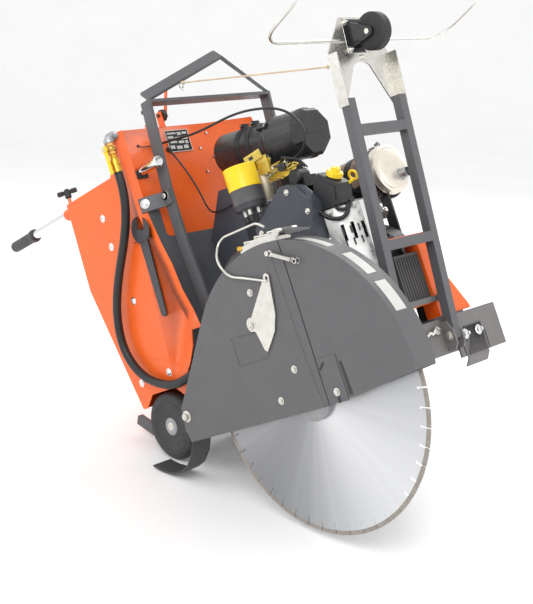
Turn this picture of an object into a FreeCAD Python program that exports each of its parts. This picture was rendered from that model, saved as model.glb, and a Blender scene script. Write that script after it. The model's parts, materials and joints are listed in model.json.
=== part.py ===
import FreeCAD, Part
import math
import os

# Walk-behind masonry and concrete saw, nose raised on its front axle for transport.
# Everything is drawn in the chassis frame: origin on the rear axle at the machine's
# centre plane, +X forward, +Y to the machine's left, +Z square to the deck, in mm.
# The last step pitches the chassis nose-up and stands it on the floor.

V = FreeCAD.Vector

# ---- driving dimensions -------------------------------------------------------------
PITCH = 25.28                # nose-up angle of the raised chassis, degrees
REAR_R = 95.0                # rear wheel radius
FRONT_R = 62.0               # front wheel radius
BLADE_R = 330.0              # 26 inch diamond blade
BLADE_X, BLADE_Z = 630.0, -20.0
SEGMENTS = 46
BLADE_Y = -300.0             # centre plane of the blade
PANEL_Y = 258.0              # outer face of a console side panel
SHEET = 3.0                  # console and guard sheet
FIT = 0.05                   # radial clearance of a running fit
RAIL_Y, RAIL_W = 150.0, 40.0
RAIL_LOW, DECK_Z, DECK_T = 20.0, 60.0, 6.0
BEAM_X, BEAM_LEFT = 734.0, 305.0
BAIL_RIGHT, BAIL_LEFT = -190.0, 245.0      # inner faces of the lifting bail's legs
BAIL_WIDTH, BAIL_TOP = 38.0, 848.0
BAIL_PEAK = (330.0, 28.0, 937.0)

GUARD_OUT, GUARD_BACK = -332.0, -262.0     # outer faces of the blade guard
GUARD_X, GUARD_Z, GUARD_R = 620.0, -5.0, 353.0
SPLIT_X = 700.0
HINGE = (700.0, 357.0)       # guard hinge pin, x and z
HINGE_R = 4.0

ARM_PIVOT = (380.0, 24.0)    # front axle arm, x and z
ARM_LEN = 290.0
ARM_Y = 8.0
TUCKED_Z = 7.0               # height of the front axle when it is folded up
LUG_R, LUG_PIN_R = 78.0, 7.0

POINTER_PIVOT = (757.0, 14.0)
POINTER_LEAN = 6.3
POINTER_Y, LEG_W = 94.5, 25.0
POINTER_PIN_R = 6.0
CASTER_R = 45.0
SWIVEL_Z = 758.0             # caster swivel axis, measured up the pointer
CASTER_X, CASTER_Z = 45.0, 748.0

HANDLE_Y, HANDLE_Z, HANDLE_R = 222.0, 679.0, 13.0
HANDLE_REAR, GRIP_FRONT, HANDLE_TIP = -552.0, -415.0, 254.0

CRANK = (545.0, 230.0)       # crankshaft, x and z
CRANK_SHEAVE_R, BLADE_SHEAVE_R = 45.0, 55.0
SHEAVE_Y0, SHEAVE_Y1 = -143.0, -116.0

sin_p, cos_p = math.sin(math.radians(PITCH)), math.cos(math.radians(PITCH))
ARM_DOWN = math.degrees(math.asin((FRONT_R - REAR_R - ARM_PIVOT[0] * sin_p
                                   - ARM_PIVOT[1] * cos_p) / ARM_LEN)) - PITCH
ARM_UP = math.degrees(math.asin((TUCKED_Z - ARM_PIVOT[1]) / ARM_LEN))
ARM_SWING = ARM_UP - ARM_DOWN
LUG_REST = 90.0 - ARM_SWING / 2


def polar(centre, radius, degrees):
    """Point in the XZ plane, angle counted from +X towards +Z."""
    a = math.radians(degrees)
    return (centre[0] + radius * math.cos(a), centre[1] + radius * math.sin(a))


def from_floor_frame(x, z):
    """Point given in the level frame about the rear axle, as chassis x and z."""
    return (x * cos_p + z * sin_p, -x * sin_p + z * cos_p)


# ---- solid helpers ------------------------------------------------------------------
def box(x0, x1, y0, y1, z0, z1):
    return Part.makeBox(x1 - x0, y1 - y0, z1 - z0, V(x0, y0, z0))


def rod(p, q, radius):
    p, q = V(*p), V(*q)
    return Part.makeCylinder(radius, (q - p).Length, p, q - p)


def disc(x, z, radius, y0, y1):
    """Cylinder along Y."""
    return Part.makeCylinder(radius, y1 - y0, V(x, y0, z), V(0, 1, 0))


def ring(x, z, r_in, r_out, y0, y1):
    return disc(x, z, r_out, y0, y1).cut(disc(x, z, r_in, y0 - 1, y1 + 1))


def outline(points):
    """Closed wire; an entry ("arc", middle, end) is a round stretch."""
    edges = []
    last = points[0]
    for item in points[1:] + [points[0]]:
        if item[0] == "arc":
            edges.append(Part.Arc(last, item[1], item[2]).toShape())
            last = item[2]
        elif last.distanceToPoint(item) > 1e-6:
            edges.append(Part.LineSegment(last, item).toShape())
            last = item
    return Part.Wire(edges)


def lift(item, place):
    if item[0] == "arc":
        return ("arc", place(item[1]), place(item[2]))
    return place(item)


def plate_y(points, y0, y1):
    """Plate whose outline is in the XZ plane."""
    wire = outline([lift(p, lambda q: V(q[0], y0, q[1])) for p in points])
    return Part.Face(wire).extrude(V(0, y1 - y0, 0))


def plate_x(points, x0, x1):
    """Plate whose outline is in the YZ plane."""
    wire = outline([lift(p, lambda q: V(x0, q[0], q[1])) for p in points])
    return Part.Face(wire).extrude(V(x1 - x0, 0, 0))


def plate_z(points, z0, z1):
    """Plate whose outline is in the XY plane."""
    wire = outline([lift(p, lambda q: V(q[0], q[1], z0)) for p in points])
    return Part.Face(wire).extrude(V(0, 0, z1 - z0))


def strip(points, thickness):
    """Outline of a bent sheet that follows points and lies to their left."""
    n = len(points)
    normals = []
    for a, b in zip(points, points[1:]):
        d = math.hypot(b[0] - a[0], b[1] - a[1])
        normals.append((-(b[1] - a[1]) / d, (b[0] - a[0]) / d))
    inner = []
    for i in range(n):
        m, k = normals[max(i - 1, 0)], normals[min(i, n - 2)]
        scale = thickness / (1 + m[0] * k[0] + m[1] * k[1])
        inner.append((points[i][0] + (m[0] + k[0]) * scale,
                      points[i][1] + (m[1] + k[1]) * scale))
    return list(points) + inner[::-1]


def fuse(shapes):
    shapes = list(shapes)
    return shapes[0].fuse(shapes[1:]).removeSplitter() if len(shapes) > 1 else shapes[0]


def group(shapes):
    """Separate solids that share one node."""
    return Part.makeCompound([s for shape in shapes for s in shape.Solids])


def mirror(shape):
    return shape.mirror(V(0, 0, 0), V(0, 1, 0))


def tube_path(points, share=0.45):
    """Straight runs joined by tangent arcs; returns the wire and the arc radii."""
    points = [V(*p) for p in points]
    edges, radii, start = [], [], points[0]
    for a, b, c in zip(points, points[1:], points[2:]):
        u, w = (b - a).normalize(), (c - b).normalize()
        half = u.getAngle(w) / 2
        cut = share * min((b - a).Length, (c - b).Length)
        radii.append(cut / math.tan(half))
        p, q = b - u * cut, b + w * cut
        side = (w - u).normalize()
        middle = b + side * (radii[-1] / math.cos(half) - radii[-1])
        edges.append(Part.LineSegment(start, p).toShape())
        edges.append(Part.Arc(p, middle, q).toShape())
        start = q
    edges.append(Part.LineSegment(start, points[-1]).toShape())
    return Part.Wire(edges), radii


def tube(points, radius, label=None):
    """Round bar or hose along a path."""
    wire, radii = tube_path(points)
    start = V(*points[0])
    circle = Part.Circle(start, V(*points[1]) - start, radius).toShape()
    solid = wire.makePipeShell([Part.Wire(circle)], True, False)
    if label:
        ratio = solid.Volume / (math.pi * radius ** 2 * wire.Length)
        print(label, "length", round(wire.Length), "radii", [round(r) for r in radii],
              "volume ratio", round(ratio, 4))
    return solid


# ---- chassis ------------------------------------------------------------------------
def frame_rails():
    """Two rectangular tubes, cross members, axle hangers, arm hangers, brake arm."""
    solids = []
    for y0 in (-RAIL_Y - RAIL_W, RAIL_Y):
        rail = box(-70, BEAM_X, y0, y0 + RAIL_W, RAIL_LOW, DECK_Z)
        solids.append(rail.cut(box(-70, BEAM_X, y0 + 4, y0 + RAIL_W - 4, RAIL_LOW + 4, DECK_Z - 4)))
    for x0 in (-70, 180, 470):
        solids.append(box(x0, x0 + 30, -RAIL_Y, RAIL_Y, RAIL_LOW + 20, DECK_Z))
    hanger = plate_y([(-110, 60), (-118, -20), (-104, -60), (-76, -60), (26, -26), (60, 20), (60, 60)],
                     194, 202)
    hanger = hanger.cut(disc(0, 0, 14 + FIT, 190, 210))
    hanger = fuse([hanger, box(-60, 50, 190, 194, RAIL_LOW, DECK_Z)])
    solids += [hanger, mirror(hanger)]
    px, pz = ARM_PIVOT
    for y0 in (-40, 48):
        plate = plate_y([(px - 34, DECK_Z), (px - 26, -4), (px + 26, -4), (px + 34, DECK_Z)], y0, y0 + 8)
        solids.append(plate.cut(disc(px, pz, 12 + FIT, y0 - 1, y0 + 9)))
    upper, lower = strip([(-88, -38), (-216, 56)], 4), strip([(-104, -60), (-232, 34)], -4)
    web = [(-88, -38), (-216, 56), (-232, 34), (-104, -60)]
    channel = fuse([plate_y(web, 190, 194), plate_y(upper, 176, 194), plate_y(lower, 176, 194)])
    solids += [channel, mirror(channel)]
    return group(solids)


def deck_plate():
    """Deck sheet with the engine's pedestals and the bulkhead behind the engine."""
    wide, notch = 190, (-52, 68)
    deck = plate_z([(-70, -wide), (BEAM_X, -wide), (BEAM_X, notch[0]), (600, notch[0]),
                    (600, notch[1]), (BEAM_X, notch[1]), (BEAM_X, wide), (-70, wide)],
                   DECK_Z, DECK_Z + DECK_T)
    deck = deck.cut(box(520, 690, -150, -96, 50, 70))
    deck = deck.cut(box(300, 458, -8, 24, 50, 70))
    bulkhead = plate_x([(-238, 66), (226, 66), (226, 438), (80, 438), (80, 495), (70, 495), (70, 470),
                        ("arc", (30, 430), (-10, 470)), (-10, 492), (-185, 492),
                        ("arc", (-196, 496), (-200, 507)), (-200, 600), (-238, 600)], 168, 171)
    bulkhead = bulkhead.cut(box(160, 180, -20, 40, 84, 120))
    pedestals = [box(x0, x0 + 40, y0, y0 + 30, DECK_Z + DECK_T, 132)
                 for x0 in (450, 560) for y0 in (-92, 80)]
    return group([deck, bulkhead] + pedestals)


def front_beam():
    """Front cross plate, bumper plate, adjusting plate and the pointer's clevises."""
    beam = box(BEAM_X, BEAM_X + 6, -258, BEAM_LEFT, -28, DECK_Z)
    x = BEAM_X + 6
    bumper = box(x, x + 6, 114, BEAM_LEFT, -48, DECK_Z + 2)
    for y in (129, 230):
        bumper = bumper.cut(box(x - 1, x + 7, y, y + 5, -50, 8))
    lip = strip([(x + 6, 28), (x + 6, -55), (x - 8, -74)], -4)
    adjuster = plate_y(lip, 138, 226).cut(box(x - 20, x + 0, 130, 230, -50, 30))
    solids = [beam, bumper, adjuster]
    px, pz = POINTER_PIVOT
    cheek = [(x, -22), (px + 6, -22), (px + 16, -8), (px + 16, 24), (px + 2, 52), (x, 52)]
    for sign in (1, -1):
        inner, outer = POINTER_Y - LEG_W / 2, POINTER_Y + LEG_W / 2
        pin = disc(px, pz, POINTER_PIN_R, inner - 7, outer + 7)
        ears = [plate_y(cheek, inner - 6.3, inner - 0.3), plate_y(cheek, outer + 0.3, outer + 6.3)]
        bracket = fuse(ears + [pin])
        solids.append(bracket if sign > 0 else mirror(bracket))
    stay = box(BEAM_X, BEAM_X + 4, -10, 122, 106, 120)
    boss = rod((BEAM_X + 4, 110, 113), (BEAM_X + 12, 110, 113), 8)
    hook = rod((x + 4, 8, 28), (x + 4, 64, 35), 4)
    return group(solids + [fuse([stay, boss]), hook])


FRONT_EDGE = {
    1: [(150, 800), (150, 560), (150, 112), (150, 80)],
    -1: [(150, 800), (150, 560), (166, 478), (184, 410), (193, 340), (213, 276), (222, 228), (206, 188),
         (178, 152), (150, 126), (150, 80)],
}
HEM = {1: (34.0, 28.0), -1: (21.0, 17.0)}      # reach of a side panel's front hem, x and y


def side_panel(sign):
    """Console side: flat sheet and the hem turned in along its front edge."""
    edge = [(-157, 696), (79, 696), (138, 772), (138, 800)] + FRONT_EDGE[sign] + [
        (112, 72), (80, 99), (-28, 99), (-70, 67), (-88, 69), (-169, 437)]
    y = sorted((sign * (PANEL_Y - SHEET), sign * PANEL_Y))
    sheet = plate_y(edge, *y)
    reach, depth = HEM[sign]
    hemmed = [q for q in FRONT_EDGE[sign] if q[1] > 200 or sign > 0]
    line = outline([V(q[0], sign * PANEL_Y, q[1]) for q in strip(hemmed, -SHEET)])
    hem = Part.Face(line).extrude(V(reach, -sign * depth, 0)).cut(sheet)
    hole = rod((140, sign * HANDLE_Y, HANDLE_Z), (190, sign * HANDLE_Y, HANDLE_Z), HANDLE_R + 1.5)
    return group([sheet, hem.cut(hole).common(box(0, 400, -400, 400, 0, 795.5))])


def console_front_panel():
    """Upper front sheet with its shallow bend, grommet hole, bar holes and small holes."""
    right, left = -238, 226
    bend = [(165, right), (165, 60), (186, left)]
    sheet = plate_z(strip(bend, 3), 440, 796)
    cap = plate_z([(140, -255), (152, -255), (169, -241), (165, right), (165, 60), (186, left),
                   (182, 228), (152, 255), (140, 255)], 796, 799)
    for y in (-HANDLE_Y, HANDLE_Y):
        sheet = sheet.cut(rod((130, y, HANDLE_Z), (230, y, HANDLE_Z), HANDLE_R + 1))
    for y, z, r in ((-150, 744, 9), (52, 769, 4), (13, 726, 4), (54, 697, 4), (13, 656, 4)):
        sheet = sheet.cut(rod((150, y, z), (200, y, z), r))
    return group([sheet, cap])


def console_rear_panel():
    """Top deck and two rear sheets of the console with the two handlebar sockets."""
    inside = PANEL_Y - SHEET
    corners = [(79, 696), (-157, 696), (-169, 437), (-88, 69)]
    sheets = []
    for a, b in zip(corners, corners[1:]):
        sheet = plate_y(strip([a, b], 3), -inside, inside)
        for done in sheets:
            sheet = sheet.cut(done)
        sheets.append(sheet)
    for y in (-HANDLE_Y, HANDLE_Y):
        block = rod((-214, y, HANDLE_Z), (-120, y, HANDLE_Z), 17)
        block = block.cut(sheets[0])
        sheets[1] = sheets[1].fuse(block)
        bore = rod((-220, y, HANDLE_Z), (-110, y, HANDLE_Z), HANDLE_R + FIT)
        screw = rod((-187, y, HANDLE_Z + 5), (-187, y, 720), 5 + FIT)
        sheets[0] = sheets[0].cut(bore)
        sheets[1] = sheets[1].cut(bore).cut(screw)
    floor = box(-85, 140, -inside, -RAIL_Y - RAIL_W - 12, 100, 103)
    return group(sheets + [floor, mirror(floor)])


def dash_panel():
    """Sloping control face between the console's deck and its top edge."""
    inside = PANEL_Y - SHEET
    face = plate_y(strip([(82, 696), (140, 770), (140, 795.5)], -4), -inside, inside)
    for y, r in ((-60, 9), (0, 12), (60, 6)):
        face = face.cut(rod((111 - 16, y, 733 + 12.5), (111 + 16, y, 733 - 12.5), r + 0.3))
    px, pz = DRIVE_PIVOT
    foot = box(px - 14, 150, -64, -34, 799, 802)
    ear = plate_y([(px - 13, 802), (px + 13, 802), (px + 11, pz + 10), (px - 11, pz + 10)], -62, -58)
    ear = ear.cut(disc(px, pz, 5 + FIT, -65, -55))
    post = box(122, 142, -122, -96, 799, 822)
    return group([face, foot, ear, post])


def flat_bar(p, q, width_axis, width, thick):
    """Straight flat bar from p to q."""
    p, q, w = V(*p), V(*q), V(*width_axis).normalize()
    t = (q - p).cross(w).normalize()
    c = [p + w * (width / 2) * a + t * (thick / 2) * b for a, b in ((1, 1), (-1, 1), (-1, -1), (1, -1))]
    return Part.Face(Part.makePolygon(c + c[:1])).extrude(q - p)


def bail_legs():
    """Flat-bar legs of the lifting bail, the left one on a foot, each linked to the console."""
    front_edge = [(251, 28), (251, 273), (249, 348), (239, 457), (240, 606), (250, 700), (264, BAIL_TOP)]
    leg = strip(front_edge, BAIL_WIDTH)
    leg[len(front_edge)] = (264 - BAIL_WIDTH, BAIL_TOP)
    right = plate_y(leg, BAIL_RIGHT - 10, BAIL_RIGHT)
    left = plate_y(leg, BAIL_LEFT, BAIL_LEFT + 10)
    foot = box(214, 250, RAIL_Y + RAIL_W, BAIL_LEFT, 28, 52)
    link_right = plate_z([(159.6, -250.4), (183.7, -230.9), (203, -200), (236, -200), (236, -206),
                          (206, -206), (188.3, -234.9), (163.4, -255.0)], 566, 606)
    link_left = plate_z([(169.6, 242.3), (184.2, 230.2), (206, 239), (236, 239), (236, 245),
                         (203, 245), (187, 238.7), (173.4, 247)], 566, 606)
    return group([right, left, foot, link_right, link_left])


def bail_top():
    """Cross bar and the two bars that rise forward to the lifting point."""
    cross = box(227, 263, BAIL_RIGHT, BAIL_LEFT, 838, 847)
    across = (BAIL_PEAK[2] - 858, 0, -(BAIL_PEAK[0] - 245))
    slopes = [flat_bar((245, y, 859), BAIL_PEAK, across, BAIL_WIDTH, 9)
              for y in (BAIL_RIGHT - 5, BAIL_LEFT + 5)]
    middle = BAIL_PEAK[1]
    right = slopes[0].common(box(150, 450, -400, middle, 848, 1000))
    left = slopes[1].common(box(150, 450, middle, 400, 848, 1000))
    return group([cross, right, left])


# ---- engine -------------------------------------------------------------------------
def engine_block():
    """Crankcase, two finned cylinders at 90 degrees, blower ring and filter can."""
    cx, cz = CRANK
    case = box(440, 650, -98, 120, 132, 300)
    case = case.fuse(disc(cx, cz, 97, -98, 120))
    case = case.cut(disc(cx, cz, 20 + FIT, -99, 60))
    solids = [case]
    for angle in (45, 135):
        a = math.radians(angle)
        u = V(math.cos(a), 0, math.sin(a))
        base = V(cx, 0, cz) + u * 106
        core = Part.makeCylinder(40, 120, base - u * 36, u)
        fins = [Part.makeCylinder(50, 5, base + u * (2 + 12 * i), u) for i in range(7)]
        solids.append(fuse([core] + fins).cut(case))
    solids.append(fuse([box(515, 575, -50, 30, 345, 455), rod((545, -50, 430), (545, -72, 430), 24)]))
    solids.append(fuse([plate_y([(500, 446), (600, 446), (600, 505), (560, 562), (500, 562)], -57, -53),
                        box(512, 578, -53, -50, 446, 455), box(524, 544, -72, -57, 546, 562)]))
    blower = disc(cx, cz, 120, 120, 170).cut(disc(cx, cz, 70, 160, 171))
    can = Part.makeCylinder(42, 53, V(462, -150, 467))
    offsets = ((-14, -12), (10, -18), (20, 4))
    pins = [Part.makeCylinder(4, 30, V(462 + dx, -150 + dy, 437)) for dx, dy in offsets]
    return group(solids + [blower, can] + pins)


def rear_shroud():
    """Black cooling shroud behind the engine, a sheet shell open below, on its post."""
    shell = plate_y([(291, 566), (330, 562), (366, 500), (350, 430), (350, 300), (262, 300), (203, 451)],
                    -85, 50)
    inner = plate_y([(292, 561), (328, 558), (362, 499), (347, 430), (347, 290), (264, 290), (207, 451)],
                    -82, 47)
    return fuse([shell.cut(inner), box(318, 344, -82, -70, DECK_Z + DECK_T, 420)])


def belt_guard():
    """Arched cover over the engine's drive sheave, face sheet and rims, with the rear shroud."""
    rim = [(648, 132), (648, 370), (664, 414), (645, 447), (628, 470), (605, 483), (578, 486), (525, 457),
           (452, 417), (452, 132)]
    face = plate_y(rim, -150, -145)
    rims = []
    for a, b in zip(rim, rim[1:]):
        wall = plate_y(strip([a, b], 5), -145, -112)
        for done in rims:
            wall = wall.cut(done)
        rims.append(wall)
    spacers = [box(x0, x0 + 5, -112, -98, 132, 290) for x0 in (452, 643)]
    return group([face] + rims + spacers + [rear_shroud()])


def cylinder_baffle():
    """Plated sheet round the front cylinder, with cooling slots."""
    sheet = plate_z(strip([(653, -111), (684, -100), (724, -52), (727, -13)], 2), 222, 392)
    for x0, z0 in ((684, 305), (700, 305), (716, 300)):
        sheet = sheet.cut(box(x0, x0 + 6, -110, -40, z0, z0 + 42))
    return sheet


def valve_covers():
    """Black oil-fill box, front rocker cover and rear rocker cover."""
    box_side = [(640, 398), (632, 432), (675, 484), (727, 440), (716, 398)]
    filler = plate_y(box_side, -111, -62)
    cx, cz = CRANK
    covers = []
    for angle in (45, 135):
        a = math.radians(angle)
        u, w = V(math.cos(a), 0, math.sin(a)), V(-math.sin(a), 0, math.cos(a))
        base = V(cx, 0, cz) + u * 190
        corner = base - w * 38 + V(0, -46, 0)
        lid = Part.Face(Part.makePolygon([corner, corner + w * 76, corner + w * 76 + V(0, 92, 0),
                                          corner + V(0, 92, 0), corner])).extrude(u * 22)
        covers.append(lid.makeFillet(7, [e for e in lid.Edges
                                         if abs((e.CenterOfMass - base).dot(u) - 22) < 1]))
    return group([filler] + covers + oil_caps(filler))


def oil_caps(filler):
    """Filler cap, dipstick handle and the moulded top of the filter can."""
    u = V(44, 0, 52).normalize()
    seat = V(701, -86, 462)
    cap = Part.makeCylinder(21, 16, seat, u).fuse(Part.makeCylinder(12, 26, seat, u))
    loop = Part.makeTorus(11, 3.5, V(738, -60, 452), V(0, 1, 0.3))
    loop = loop.fuse(rod((734, -64, 441), (716, -68, 436), 4)).cut(filler)
    top = Part.makeCylinder(43, 60, V(462, -150, 520))
    return [cap, loop, top]


def air_cleaner():
    """Heavy-duty canister lying fore and aft, its cover forward."""
    p, q = V(253, 30, 672), V(596, 30, 614)
    u = (q - p).normalize()
    body = Part.makeCylinder(58, 200, p, u)
    rear = Part.makeCone(44, 58, 14, p - u * 14, u)
    cover = Part.makeCylinder(66, 118, p + u * 200, u)
    nose = Part.makeCone(66, 52, 22, p + u * 318, u)
    outlet = rod((400, 30, 640), (400, 30, 560), 24)
    stand = box(330, 350, 60, 72, DECK_Z + DECK_T, 608)
    return group([fuse([body, rear, cover, nose, outlet]), stand])


def muffler():
    """Round silencer lying fore and aft, with its outlet stub."""
    centre = (205, 475)
    can = Part.makeCylinder(66, 236, V(412, centre[0], centre[1]), V(1, 0, 0))
    edges = [e for e in can.Edges if abs(e.CenterOfMass.x - 648) < 1 or abs(e.CenterOfMass.x - 412) < 1]
    can = can.makeFillet(7, [e for e in edges if e.Curve.TypeId == "Part::GeomCircle"])
    stub = rod((640, 232, 455), (672, 232, 455), 14).cut(rod((650, 232, 455), (680, 232, 455), 12))
    stays = [box(x0, x0 + 30, 176, 182, DECK_Z + DECK_T, 413) for x0 in (470, 600)]
    return group([fuse([can, stub])] + stays)


# ---- fixed equipment ----------------------------------------------------------------
def battery_box():
    box_shape = box(662, 728, 0, 92, 112, 238)
    for i in range(9):
        y = 5 + 9.6 * i
        box_shape = box_shape.cut(box(725, 730, y, y + 4.6, 118, 232))
    return box_shape


def front_frame():
    """Orange post, top shelf and gusset behind the pointer."""
    shelf = box(690, BEAM_X, -10, 165, 278, 282)
    lip = box(730, BEAM_X, -10, 165, 262, 278)
    front = box(730, BEAM_X, 96, 165, 66, 262)
    walls = [box(690, 730, 161, 165, 66, 278), box(690, 730, 96, 100, 110, 278)]
    gusset = plate_x([(165, 66), (222, 66), (222, 74), (165, 168)], BEAM_X - 4, BEAM_X)
    tray = box(650, 730, -10, 100, 104, 110)
    leg = box(690, 730, 96, 100, 66, 104)
    return group([shelf, lip, front, gusset, tray, leg] + walls)


def guard_profile(front):
    """Outline of one half of the blade guard in the XZ plane."""
    c = (GUARD_X, GUARD_Z)
    half = math.degrees(math.acos((SPLIT_X - GUARD_X) / GUARD_R))
    top = polar(c, GUARD_R, half)
    if front:
        return [(SPLIT_X + 1, -50), (SPLIT_X + 1, polar(c, GUARD_R, half - 0.2)[1]),
                ("arc", polar(c, GUARD_R, half / 2), (GUARD_X + GUARD_R, GUARD_Z)), (969, -25)]
    start = 135.6
    return [(SPLIT_X - 1, -50), (177, -50), (167, -16), (176, 41), polar(c, GUARD_R, start),
            ("arc", polar(c, GUARD_R, (start + half) / 2), (SPLIT_X - 1, top[1] + 0.2))]


def guard_shell(front):
    """Open-bottomed sheet shell: two side plates and the rim between them."""
    shape = guard_profile(front)
    block = plate_y(shape, GUARD_OUT, GUARD_BACK)
    c = (GUARD_X, GUARD_Z)
    inner_r = GUARD_R - SHEET
    start, half = 135.6, math.degrees(math.acos((SPLIT_X - GUARD_X) / GUARD_R))
    if front:
        core = [(SPLIT_X - 5, -60), (SPLIT_X - 5, inner_top(half)), (SPLIT_X, inner_top(half)),
                ("arc", polar(c, inner_r, half / 2), (GUARD_X + inner_r, GUARD_Z)), (965, -60)]
    else:
        first = polar(c, inner_r, start)
        core = [(SPLIT_X + 5, -60), (181, -60), (171, -16), (180, 39), first,
                ("arc", polar(c, inner_r, (start + half) / 2), (SPLIT_X, inner_top(half))),
                (SPLIT_X + 5, inner_top(half))]
    return block.cut(plate_y(core, GUARD_OUT + SHEET, GUARD_BACK - SHEET))


def inner_top(half):
    return polar((GUARD_X, GUARD_Z), GUARD_R - SHEET, half)[1]


def guard_rear():
    """Fixed rear half of the blade guard, slotted for the arbor, on its two mounting arms."""
    shell = guard_shell(False)
    slot = plate_y([(BLADE_X - 24, -60), (BLADE_X + 24, -60), (BLADE_X + 24, BLADE_Z),
                    ("arc", (BLADE_X, BLADE_Z + 24), (BLADE_X - 24, BLADE_Z))],
                   GUARD_BACK - 5, GUARD_BACK + 1)
    shell = shell.cut(slot)
    arms = [box(x0, x0 + 40, GUARD_BACK, -RAIL_Y - RAIL_W, 28, 52) for x0 in (330, 540)]
    return group([shell] + arms)


def water_manifold():
    """Plated water bar on the guard's top rim with the hinge knuckles, pin and hose nipple."""
    c = (GUARD_X, GUARD_Z)
    r0, r1 = GUARD_R + 0.1, GUARD_R + 15
    a0, a1 = 99.5, 79.5
    bar = plate_y([polar(c, r0, a0), ("arc", polar(c, r0, (a0 + a1) / 2), polar(c, r0, a1)),
                   polar(c, r1, a1), ("arc", polar(c, r1, (a0 + a1) / 2), polar(c, r1, a0))],
                  -322, -272)
    hx, hz = HINGE
    pin = disc(hx, hz, HINGE_R, -330, -264)
    knuckles = [ring(hx, hz, HINGE_R - 0.5, 8.5, y0, y1) for y0, y1 in ((-329, -314), (-280, -265))]
    links = [plate_y([(hx - 12, hz - 6), (hx, hz - 8.5), (hx, hz + 8.5), (hx - 12, hz + 9)], y0, y1)
             for y0, y1 in ((-329, -314), (-280, -265))]
    body = fuse([bar, pin] + knuckles + links)
    e = polar(c, r0 + 9, a0)
    nipple = rod((e[0] + 1, -297, e[1]), (e[0] - 16, -293, e[1] + 1), 6.5)
    return group([fuse([body, nipple])])


def guard_front():
    """Hinged front half of the guard with its middle knuckle and spring post."""
    shell = guard_shell(True)
    hx, hz = HINGE
    knuckle = ring(hx, hz, HINGE_R + FIT, 8.5, -313, -281)
    leaf = plate_y([(hx + 3, hz - 4), (hx + 7, hz + 4.5), (hx + 62, 344), (hx + 60, 339), (hx + 20, 343)],
                   -313, -281)
    leaf = leaf.cut(disc(hx, hz, 8, -314, -280)).cut(plate_y(guard_profile(True), -314, -280))
    post = disc(744, 279, 5, -346, GUARD_OUT)
    return group([fuse([shell, fuse([knuckle, leaf])]), post])


def guard_spring():
    """Extension spring across the guard's split, as one slim barrel."""
    return rod((672, -340, 316), (738, -340, 282), 5.5)


def guard_latch():
    """Kite-shaped latch lever and the bent wire handle that pulls it."""
    y1 = GUARD_OUT - 1.5
    kite = plate_y([(624, 272), ("arc", (634, 280), (643, 270)), (637, 240), (626, 184), (607, 148),
                    (564, 108), (556, 114), (545, 160), (524, 172), ("arc", (524, 190), (544, 196))],
                   y1 - 4, y1)
    kite = kite.cut(disc(536, 178, 6 + FIT, y1 - 5, y1 + 1)).cut(disc(634, 269, 4, y1 - 5, y1 + 1))
    wire = tube([(634, y1 - 6, 262), (576, y1 - 5, 284), (512, y1 - 5, 306), (486, y1 - 4.5, 352),
                 (474, -300, 405), (615, -297, 402), (636, -297, 386)], 3)
    return group([fuse([kite, wire])])


def arbor_housing():
    """Bearing housing of the blade shaft, hung from the right rail, and the inner hanger."""
    x, z = BLADE_X, BLADE_Z
    barrel = ring(x, z, 17 + FIT, 29, -252, -152)
    saddle = box(x - 29, x + 29, -188, -152, z, RAIL_LOW).cut(disc(x, z, 20, -190, -150))
    hanger = plate_y([(x - 40, DECK_Z), (x - 26, z - 26), (x + 26, z - 26), (x + 40, DECK_Z)], -92, -82)
    hanger = hanger.cut(disc(x, z, 17 + FIT, -95, -80))
    return group([fuse([barrel, saddle]), hanger])


def transaxle():
    """Drive gearbox round the rear axle and its motor."""
    case = box(-62, 62, -70, 70, -52, RAIL_LOW + 10).fuse(disc(0, 0, 52, -88, 88))
    case = case.cut(disc(0, 0, 14 + FIT, -95, 95)).cut(box(-75, -39, -150, 150, 30, 60))
    motor = rod((62, 0, -8), (150, 0, -8), 34)
    return group([fuse([case, motor])])


def fuel_tank():
    tank = box(-110, 95, -170, 170, 330, 560)
    tank = tank.makeFillet(18, tank.Edges)
    neck = Part.makeCylinder(28, 101, V(-70, 60, 560))
    return group([tank, neck, box(-100, 90, -178, 178, 318, 330), box(-60, 60, 150, 178, 103, 318),
                  box(-60, 60, -178, -150, 103, 318)])


def drive_belts():
    """Two V-belts round the two sheaves, as one closed loop each."""
    (ax, az), (bx, bz) = CRANK, (BLADE_X, BLADE_Z)
    d = math.hypot(bx - ax, bz - az)
    along = math.atan2(bz - az, bx - ax)
    loops = []
    for i in range(2):
        y0 = SHEAVE_Y0 + 2 + 12 * i
        shapes = []
        for grow in (8.0, 0.4):
            ra, rb = CRANK_SHEAVE_R + grow, BLADE_SHEAVE_R + grow
            off = math.acos((ra - rb) / d)
            pts = [(cx + r * math.cos(along + s * off), cz + r * math.sin(along + s * off))
                   for cx, cz, r, s in ((ax, az, ra, 1), (bx, bz, rb, 1), (bx, bz, rb, -1), (ax, az, ra, -1))]
            far_b = (bx + rb * math.cos(along), bz + rb * math.sin(along))
            far_a = (ax - ra * math.cos(along), az - ra * math.sin(along))
            shapes.append(plate_y([pts[0], pts[1], ("arc", far_b, pts[2]), pts[3], ("arc", far_a, pts[0])],
                                  y0, y0 + 10))
        loops.append(shapes[0].cut(shapes[1]))
    return group(loops)


def lift_cylinder():
    """Hydraulic cylinder of the front axle, on two saddles."""
    z = 95.0
    barrel = rod((174, ARM_Y, z), (298, ARM_Y, z), 22).cut(rod((181, ARM_Y, z), (310, ARM_Y, z), 11 + FIT))
    saddles = [box(x0, x0 + 12, ARM_Y - 22, ARM_Y + 22, DECK_Z + DECK_T, 80) for x0 in (190, 270)]
    return group([fuse([barrel] + saddles)])


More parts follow.
